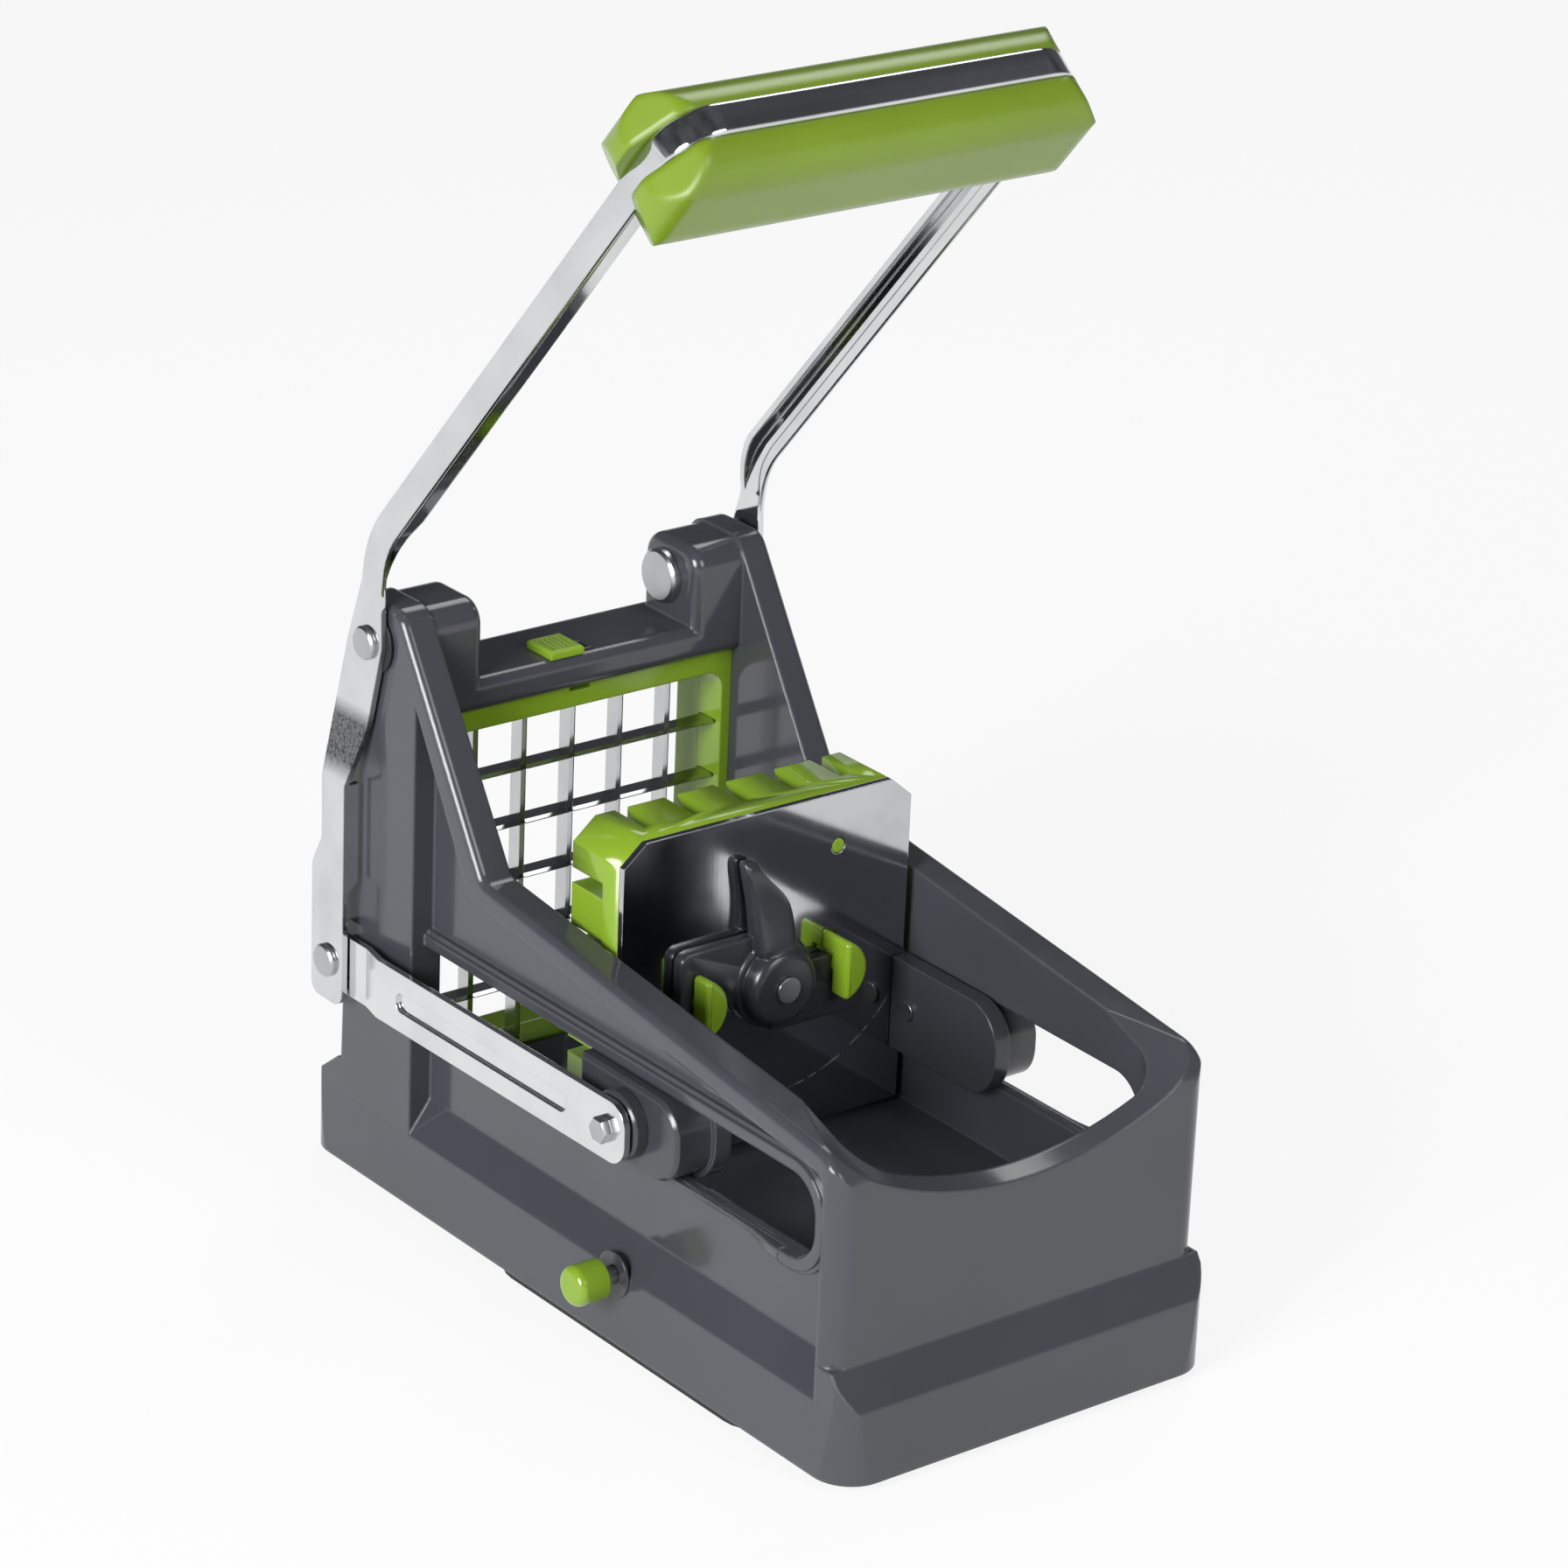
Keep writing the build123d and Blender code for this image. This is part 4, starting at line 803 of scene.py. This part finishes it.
@dataclass
class Pusher:
    """The steel plate, its toothed head, the lock lever and the two sliders.

    The fin's sections give the rise above the axis, the left and right side and the depth.
    """

    axis: float = 66.85
    seat: float = -3.42
    arm: float = 2.9
    arm_top: float = 11.6
    arm_near: float = 0.7
    arm_edge: float = 0.4
    arm_edge_degrees: float = 50.0
    arm_flat_degrees: float = 1.0
    flange_radius: float = 10.2
    flange: float = 3.5
    flange_edge: float = 0.6
    hub_inset: float = 1.0
    hub_rise: float = 4.2
    hub_round: float = 2.2
    bore: float = 2.06
    bore_length: float = 20.0
    plate_front: float = -3.2
    head_gap: float = 0.04
    stud_place: float = 18.3
    stud_radius: float = 7.0
    stud_half: float = 2.9
    stud_sides: int = 27
    stud_flat: float = 2.86
    stud_corner: float = 1.4
    stud_neck: float = 2.7
    stud_seat: float = -6.72
    stud_front: float = -11.5
    stud_rim: float = 1.1
    stud_root: float = 0.2
    collar_rise: float = 2.8
    fin_corner: float = 1.9
    fin_tip: float = 0.5
    fin_levels: int = 2
    fin: tuple[tuple[float, float, float, float], ...] = (
        (6.0, -5.6, 4.2, 7.2),
        (10.0, -5.9, 3.9, 6.4),
        (14.0, -6.3, 3.7, 5.5),
        (18.0, -6.8, 2.9, 4.9),
        (21.0, -7.3, 0.6, 4.6),
        (24.0, -7.9, -2.6, 4.3),
        (26.8, -8.5, -4.6, 3.8),
        (28.4, -8.4, -5.4, 2.8),
    )

    def hub(self) -> Piece:
        """Model the lock's hub: a flange with a rounded boss on it."""
        hub = rod("lock_hub", self.flange_radius, self.flange,
                  (0.0, (self.seat - self.flange / 2) * MM, self.axis * MM), ALONG_Y, sides=64)
        pick_faces(hub, FRONT)
        round_off(self.flange_edge, segments=3)
        pick_faces(hub, FRONT, 0.999)
        inset(self.hub_inset)
        extrude(FRONT * self.hub_rise * MM)
        round_off(self.hub_round, segments=6)
        edit_mode(False)
        return hub

    def thumb_fin(self) -> Piece:
        """Draw the thumb fin up from the hub, section by section, and round it over."""
        rise, left, right, depth = self.fin[0]
        fin = section("lock_fin", right - left, depth,
                      ((left + right) / 2 * MM, (self.seat - depth / 2) * MM,
                       (self.axis + rise) * MM), (0.0, 0.0, 0.0))
        bpy.ops.mesh.select_all(action="SELECT")
        round_off(self.fin_corner, segments=3, what=Rounded.CORNERS)
        select_faces()
        for (low, l0, r0, d0), (high, l1, r1, d1) in zip(self.fin, self.fin[1:]):
            middle = Vector(((l0 + r0) / 2, self.seat - d0 / 2, self.axis + high))
            extrude((0.0, 0.0, (high - low) * MM))
            bpy.ops.transform.resize(value=((r1 - l1) / (r0 - l0), d1 / d0, 1.0),
                                     center_override=middle * MM)
            bpy.ops.transform.translate(
                value=((l1 + r1 - l0 - r0) / 2 * MM, (d0 - d1) / 2 * MM, 0.0))
        round_off(self.fin_tip, segments=2)
        bpy.ops.mesh.select_all(action="SELECT")
        bpy.ops.mesh.normals_make_consistent(inside=False)
        edit_mode(False)
        rounder = fin.modifiers.new("round", "SUBSURF")
        rounder.levels = rounder.render_levels = self.fin_levels
        bpy.ops.object.modifier_apply(modifier="round")
        return fin

    def bore_tool(self) -> Piece:
        """Make the drill that clears the rivet."""
        drill = rod("lock_drill", self.bore, self.bore_length,
                    (0.0, self.seat * MM, self.axis * MM), ALONG_Y, sides=48)
        edit_mode(False)
        return drill

    def build_lock(self) -> None:
        """Model the lock lever: the CAD node's arms with broken edges, a hub and a thumb fin."""
        lever = copy_node("lock_lever", "lock_lever_moulded")
        cut_away(FRONT * (self.arm - self.seat) * MM, FRONT)
        cut_away(UP * (self.axis + self.arm_top) * MM, UP)
        # Near corners are joined first, so that the broken edges have room for their width.
        bpy.ops.mesh.remove_doubles(threshold=self.arm_near * MM)
        bpy.ops.mesh.select_all(action="SELECT")
        bpy.ops.mesh.dissolve_limited(angle_limit=math.radians(self.arm_flat_degrees))
        edit_mode(False)
        broken = lever.modifiers.new("edges", "BEVEL")
        broken.width = self.arm_edge * MM
        broken.segments = 3
        broken.limit_method = "ANGLE"
        broken.angle_limit = math.radians(self.arm_edge_degrees)
        bpy.ops.object.modifier_apply(modifier="edges")
        merge(lever, self.hub(), Join.UNION)
        merge(lever, self.thumb_fin(), Join.UNION)
        merge(lever, self.bore_tool(), Join.DIFFERENCE)
        edit_mode(True)
        # The lever takes the darker nylon, whose colour paints its shade.
        close(lever, LOCK_NYLON_PAINTED_SHADE, "lock")
        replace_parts(lever, "lock_lever")

    def d_block(self, x: float, front: float, rear: float) -> Piece:
        """Make a D-shaped block, flat towards -X, with rounded corners at the flat.

        Args:
            x: middle of the stud.
            front: Y of the front face.
            rear: Y of the rear face.

        Returns:
            The block, in edit mode.
        """
        # The flat lies between two corners of the round, so that both its ends have room to turn.
        middle = Vector((x + self.stud_half - self.stud_radius, (front + rear) / 2, self.axis))
        block = rod("stud_block", self.stud_radius, rear - front, middle * MM,
                    (math.pi / 2, math.pi / 2, 0.0), self.stud_sides)
        flat = (x - self.stud_flat) * MM
        cut_away(RIGHT * flat, -RIGHT)
        pick_edges(block, lambda a, b: abs(a.y - b.y) > 1e-4
                   and max(abs(a.x - flat), abs(b.x - flat)) < 1e-5)
        round_off(self.stud_corner, segments=5)
        return block

    def stud(self, x: float) -> Piece:
        """Model a stud: a neck, a rounded head, and a collar on the side the lock leaves free."""
        head = self.d_block(x, self.stud_front, self.stud_seat)
        pick_faces(head, FRONT)
        round_off(self.stud_rim, segments=4)
        edit_mode(False)
        collar = self.d_block(x, self.stud_seat - self.stud_root, self.plate_front + self.stud_root)
        free = 1.0 if x > 0 else -1.0
        cut_away(UP * (self.axis + free * self.collar_rise) * MM, UP * -free)
        edit_mode(False)
        neck = rod("stud_neck", self.stud_neck,
                   self.plate_front - self.stud_seat + 2 * self.stud_root,
                   Vector((x, (self.plate_front + self.stud_seat) / 2, self.axis)) * MM, ALONG_Y,
                   sides=40)
        edit_mode(False)
        merge(head, collar, Join.UNION)
        merge(head, neck, Join.UNION)
        return head

    def build_head(self) -> None:
        """Model the head: the toothed block of the CAD node, with studs that have rounded heads."""
        head = copy_node("pusher_head", "pusher_head_moulded")
        cut_away(FRONT * -(self.plate_front + self.head_gap) * MM, FRONT)
        edit_mode(False)
        for x in (-self.stud_place, self.stud_place):
            merge(head, self.stud(x), Join.UNION)
        edit_mode(True)
        close(head, GREEN_ABS, "pusher")
        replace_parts(head, "pusher_head")

    def dress(self) -> None:
        """Finish the plate and sliders."""
        dress(["pusher_plate"], MIRROR_SHEET)
        dress(both("slider") + both("link_spacer"), SLIDER_NYLON)
        dress(["lock_rivet"] + both("slider_rivet"), ZINC_PIN)


@dataclass
class Linkage:
    """The two links, their hex bolts and the rivets at the cranks."""

    flats: float = 5.0
    head: float = 2.0
    corner: float = 0.35
    dish_rim: float = 0.6
    dish: float = 0.2
    shank_inset: float = 0.7

    def build(self) -> None:
        """Model the hex bolt once and copy it to the other side."""
        low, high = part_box("link_bolt_right")
        middle = (high[0] - self.head * MM / 2, (low[1] + high[1]) / 2, (low[2] + high[2]) / 2)
        head = rod("link_bolt_head_right", self.flats / math.sqrt(3), self.head, middle, ALONG_X,
                   sides=6)
        # The head is chamfered all round, dished a little on top, and stands on a plain shank.
        pick_faces(head, RIGHT)
        round_off(self.corner, segments=3)
        pick_faces(head, RIGHT, 0.995)
        inset(self.dish_rim)
        bpy.ops.transform.translate(value=(-self.dish * MM, 0.0, 0.0))
        pick_faces(head, -RIGHT)
        inset(self.shank_inset)
        extrude((low[0] - (high[0] - self.head * MM), 0.0, 0.0))
        close(head, ZINC_PIN, "links")
        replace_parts(head, "link_bolt_right")
        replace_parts(mirrored(head, "link_bolt_head_left", "links"), "link_bolt_left")

    def dress(self) -> None:
        """Finish the links and the rivets."""
        dress(both("link"), NICKEL_STRIP)
        dress(both("crank_rivet") + both("pivot_pin"), ZINC_PIN)
        dress(both("pivot_washer"), BLACK_STEEL)


@dataclass
class LeverHandle:
    """The chrome bail with its rounded outer skin, and the green grip in two halves."""

    pivot: tuple[float, float] = (72.0, 127.2)
    elbow: tuple[float, float] = (69.278, 150.038)
    lean: float = 49.2
    arm: float = 151.0
    half: float = 50.35
    corner: float = 11.0
    corner_steps: int = 14
    elbow_round: float = 24.0
    elbow_steps: int = 10
    width: float = 7.0
    proud: float = 0.5
    depth: float = 0.9
    edge: float = 1.1
    foot_start: float = 9.5
    foot_rise: float = 3.5
    foot_sink: float = 0.55

    def run(self, way: Vector) -> None:
        """Carry the section on in a straight line, by a way in millimetres."""
        extrude(way * MM)

    def turn(self, middle: Vector, axis: Vector, angle: float, steps: int) -> None:
        """Carry the section round a bend.

        Args:
            middle: middle of the bend in millimetres.
            axis: its axis, which the section turns round by the right hand.
            angle: how far it turns; the operator itself counts angles clockwise.
            steps: number of facets along the bend.
        """
        bpy.ops.mesh.spin(steps=steps, angle=-angle, center=middle * MM, axis=axis)

    def build_skin(self) -> None:
        """Draw the rounded outer skin of the channel from one foot over the grip to the other."""
        pivot, elbow = Vector((0.0, *self.pivot)), Vector((0.0, *self.elbow))
        foot = (elbow - pivot).normalized()
        lean = math.radians(self.lean)
        arm = Vector((0.0, -math.cos(lean), math.sin(lean)))
        bend = foot.angle(arm)
        tangent = self.elbow_round * math.tan(bend / 2)
        thick = self.proud + self.depth
        outer = RIGHT * (self.half + self.proud)
        begin = pivot + foot * self.foot_start - outer + RIGHT * (thick / 2 + self.foot_sink)
        skin = section("lever_bail_skin", thick, self.width, begin * MM,
                       (math.atan2(-foot.y, foot.z), 0.0, 0.0))
        pick_corners(skin, lambda corner: corner.x < begin.x * MM)
        round_off(self.edge, segments=5, what=Rounded.CORNERS)
        select_faces()
        straight = (elbow - pivot).length - tangent - self.foot_start - self.foot_rise
        long = self.arm - self.corner - tangent
        elbow_middle = elbow - foot * tangent + RIGHT.cross(foot) * self.elbow_round
        top = elbow + arm * (self.arm - self.corner)
        across = RIGHT * (self.half - self.corner)
        sink = RIGHT * self.foot_sink
        self.run(foot * self.foot_rise - sink)
        self.run(foot * straight)
        self.turn(elbow_middle, RIGHT, bend, self.elbow_steps)
        self.run(arm * long)
        self.turn(top - across, arm.cross(RIGHT), math.pi / 2, self.corner_steps)
        self.run(across * 2)
        self.turn(top + across, arm.cross(RIGHT), math.pi / 2, self.corner_steps)
        self.run(arm * -long)
        self.turn(elbow_middle, -RIGHT, bend, self.elbow_steps)
        self.run(foot * -straight)
        self.run(foot * -self.foot_rise - sink)
        close(skin, CHROME, "lever")

    def dress(self) -> None:
        """Finish the bail, the grip and its screws."""
        dress(["lever_bail"], CHROME)
        dress(["grip_front", "grip_rear"], GRIP_ABS)
        dress(["grip_screws"], ZINC_PIN)


@dataclass
class SuctionFoot:
    """The rubber pad with its stud, and the release rod with its spring and cap."""

    corner: float = 9.0
    brim: float = 0.6
    ribs: int = 2
    rib: float = 0.9
    rib_flank: float = 0.3
    rib_depth: float = 0.5
    groove: float = 1.1
    wire: float = 0.8
    wire_sides: int = 10
    turns: int = 6
    turn_steps: int = 20
    squeezed: float = 0.7

    def build_pad(self) -> None:
        """Model the rubber pad with its thin lip and the sealing ribs underneath."""
        low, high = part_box("suction_pad")
        size = [b - a for a, b in zip(low, high)]
        bpy.ops.object.select_all(action="DESELECT")
        bpy.ops.mesh.primitive_cube_add(
            size=1.0, location=[(a + b) / 2 for a, b in zip(low, high)], scale=size)
        pad = start("suction_pad_rubber")
        pick_edges(pad, lambda a, b: abs(a.z - b.z) > size[2] / 2)
        round_off(self.corner, segments=6)
        # The upper edge is rounded off and the face below carries raised rings that seal.
        pick_faces(pad, UP)
        round_off(self.brim, segments=3)
        pick_faces(pad, -UP)
        inset(self.rib)
        for _ in range(self.ribs):
            inset(self.rib_flank)
            bpy.ops.transform.translate(value=UP * self.rib_depth * MM)
            inset(self.groove)
            inset(self.rib_flank)
            bpy.ops.transform.translate(value=UP * -self.rib_depth * MM)
            inset(self.rib)
        close(pad, PAD_RUBBER, "base")
        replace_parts(pad, "suction_pad")

    def build_spring(self) -> None:
        """Wind the return spring from round wire."""
        low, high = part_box("release_spring")
        wire = self.wire * MM
        radius = (high[2] - low[2]) / 2 - wire / 2
        axis_y, axis_z = (low[1] + high[1]) / 2, (low[2] + high[2]) / 2
        bpy.ops.object.select_all(action="DESELECT")
        bpy.ops.mesh.primitive_circle_add(vertices=self.wire_sides, radius=wire / 2,
                                          fill_type="NOTHING", location=(0.0, radius, 0.0))
        spring = start("release_spring_wire")
        edit_mode(False)
        wound = spring.modifiers.new("wind", "SCREW")
        wound.axis = "X"
        wound.angle = 2 * math.pi * self.turns
        wound.screw_offset = high[0] - low[0] - wire
        wound.steps = wound.render_steps = self.turn_steps * self.turns
        bpy.ops.object.modifier_apply(modifier="wind")
        spring.data.transform(Matrix.Translation((low[0] + wire / 2, axis_y, axis_z)))
        edit_mode(True)
        bpy.ops.mesh.select_all(action="SELECT")
        bpy.ops.mesh.region_to_loop()
        bpy.ops.mesh.edge_face_add()
        close(spring, SPRING_WIRE, "release")
        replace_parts(spring, "release_spring")
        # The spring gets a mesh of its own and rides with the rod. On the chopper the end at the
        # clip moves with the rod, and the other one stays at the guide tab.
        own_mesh(spring)

    def dress(self) -> None:
        """Finish the stud, rod, bush, clip and cap."""
        dress(["suction_stud", "stud_nut", "release_rod", "release_clip"], ZINC_PIN)
        dress(["release_bush"], SLIDER_NYLON)
        dress(["release_cap"], GREEN_ABS)


@dataclass(frozen=True)
class SoftBox:
    """A round soft box: its name, its place and width in metres and its power in watts."""

    name: str
    place: Triple
    size: float
    power: float


@dataclass
class Studio:
    """A pale floor, a dark tent, soft boxes and the camera of the photograph.

    Angles are in degrees, the focal length and the image's width in pixels, the sensor in
    millimetres, and places and other sizes in metres.
    """

    azimuth: float = -38.674
    elevation: float = 22.465
    roll: float = 2.459
    focal: float = 6470.9
    image: float = 1792.0
    sensor: float = 36.0
    sight: float = 50.0
    stand: Triple = (-0.671882, -0.846442, 0.556292)
    aim: Triple = (0.0, 0.0, 0.1)
    floor_size: float = 8.0
    paper: str = "#F2F2F2"
    paper_white: float = 0.86
    tent: float = 3.0
    tent_hem: float = 0.25
    tent_fade: float = 0.5
    tent_light: tuple[float, float] = (0.5, 0.085)
    tent_folds: tuple[float, float] = (0.6, 1.5)
    fold: float = 0.9
    cloth: str = "#F2F4FF"
    room_light: float = 0.2
    boxes: tuple[SoftBox, ...] = (
        SoftBox("soft_box_left", (-1.5, -0.5, 0.7), 0.8, 34.0),
        SoftBox("soft_box_front", (0.3, -1.5, 0.9), 0.8, 10.0),
        SoftBox("soft_box_rear", (0.92, 0.6, 1.4), 0.7, 4.5),
    )

    def camera(self) -> None:
        """Stand the camera where the photograph was taken from."""
        az, el, roll = (math.radians(a) for a in (self.azimuth, self.elevation, self.roll))
        back = Vector((math.sin(az) * math.cos(el), -math.cos(az) * math.cos(el), math.sin(el)))
        side = (-back).cross(UP).normalized()
        up = side.cross(-back)
        across = side * math.cos(roll) + up * math.sin(roll)
        upright = up * math.cos(roll) - side * math.sin(roll)
        data = bpy.data.cameras.new("photo_camera")
        data.sensor_fit = "HORIZONTAL"
        data.sensor_width = self.sensor
        data.lens = self.focal / self.image * self.sensor
        data.clip_end = self.sight
        camera = bpy.data.objects.new("photo_camera", data)
        bpy.context.collection.objects.link(camera)
        turned = Matrix((across, upright, back)).transposed().to_4x4()
        camera.matrix_world = Matrix.Translation(self.stand) @ turned
        bpy.context.scene.camera = camera

    def floor(self) -> None:
        """Lay the pale floor, which shows white and keeps the shadow."""
        bpy.ops.object.select_all(action="DESELECT")
        bpy.ops.mesh.primitive_plane_add(size=self.floor_size)
        ground = bpy.context.object
        ground.name = "studio_floor"
        made, tree = blank("paper_white_sweep")
        share = work(tree, "MULTIPLY", looked_at(tree), self.paper_white)
        paper = add(tree, "BsdfDiffuse", {"Color": linear(self.paper)})
        glow = add(tree, "Emission", {"Strength": 1.0})
        sweep = add(tree, "MixShader", {0: share, 1: paper.outputs[0], 2: glow.outputs[0]})
        add(tree, "OutputMaterial", {0: sweep.outputs[0]})
        ground.data.materials.append(made)

    def canopy(self) -> None:
        """Hang a dark tent over the table, which only reflections meet, as in a dim studio."""
        bpy.ops.object.select_all(action="DESELECT")
        bpy.ops.mesh.primitive_uv_sphere_add(segments=48, ring_count=24, radius=self.tent)
        tent = start("studio_tent")
        bpy.ops.mesh.select_all(action="SELECT")
        bpy.ops.mesh.bisect(plane_co=UP * self.tent_hem, plane_no=UP, clear_inner=True)
        bpy.ops.mesh.select_all(action="SELECT")
        bpy.ops.mesh.flip_normals()
        edit_mode(False)
        made, tree = blank("cloth_dark_tent")
        place = add(tree, "TexCoord").outputs["Object"]
        level = ramp(tree, split(tree, place)["Z"],
                     (self.tent_hem, self.tent_hem + self.tent_fade), self.tent_light)
        folds = add(tree, "TexNoise", {"Vector": place, "Scale": self.fold, "Detail": 1.0})
        shade = ramp(tree, folds.outputs[0], (0.3, 0.7), self.tent_folds)
        light = work(tree, "MULTIPLY", level, shade)
        glow = add(tree, "Emission", {"Color": linear(self.cloth), "Strength": light})
        add(tree, "OutputMaterial", {0: glow.outputs[0]})
        tent.data.materials.append(made)
        tent.visible_camera = tent.visible_diffuse = False
        tent.visible_shadow = tent.visible_transmission = False

    def lamp(self, box: SoftBox) -> None:
        """Hang a soft box that faces the part."""
        data = bpy.data.lights.new(box.name, "AREA")
        data.shape = "DISK"
        data.size = box.size
        data.energy = box.power
        lamp = bpy.data.objects.new(box.name, data)
        bpy.context.collection.objects.link(lamp)
        place = Vector(box.place)
        turned = (Vector(self.aim) - place).to_track_quat("-Z", "Y").to_matrix().to_4x4()
        lamp.matrix_world = Matrix.Translation(place) @ turned

    def world(self) -> None:
        """Make the room white to the eye and in reflections, and dimmer as a light."""
        room = bpy.data.worlds.new("studio_room")
        bpy.context.scene.world = room
        room.use_nodes = True
        tree = room.node_tree
        tree.nodes.clear()
        level = ramp(tree, looked_at(tree), (0.0, 1.0), (self.room_light, 1.0))
        back = add(tree, "Background", {"Color": (1.0, 1.0, 1.0, 1.0), "Strength": level})
        add(tree, "OutputWorld", {0: back.outputs[0]})

    def build(self) -> None:
        """Set the whole studio up."""
        self.camera()
        self.floor()
        self.world()
        for box in self.boxes:
            self.lamp(box)
        self.canopy()
        bpy.context.scene.view_settings.view_transform = "Standard"
        LOG.info("studio set")


def main() -> None:
    """Build each sub-assembly in order, then set the studio up."""
    logging.basicConfig(level=logging.INFO, format="%(message)s")
    housing = Housing()
    housing.build_bead_tails()
    housing.dress()
    BladeCassette().dress()
    pusher = Pusher()
    pusher.build_head()
    pusher.build_lock()
    pusher.dress()
    linkage = Linkage()
    linkage.build()
    linkage.dress()
    handle = LeverHandle()
    handle.build_skin()
    handle.dress()
    foot = SuctionFoot()
    foot.build_pad()
    foot.build_spring()
    foot.dress()
    Studio().build()


if __name__ == "__main__":
    main()
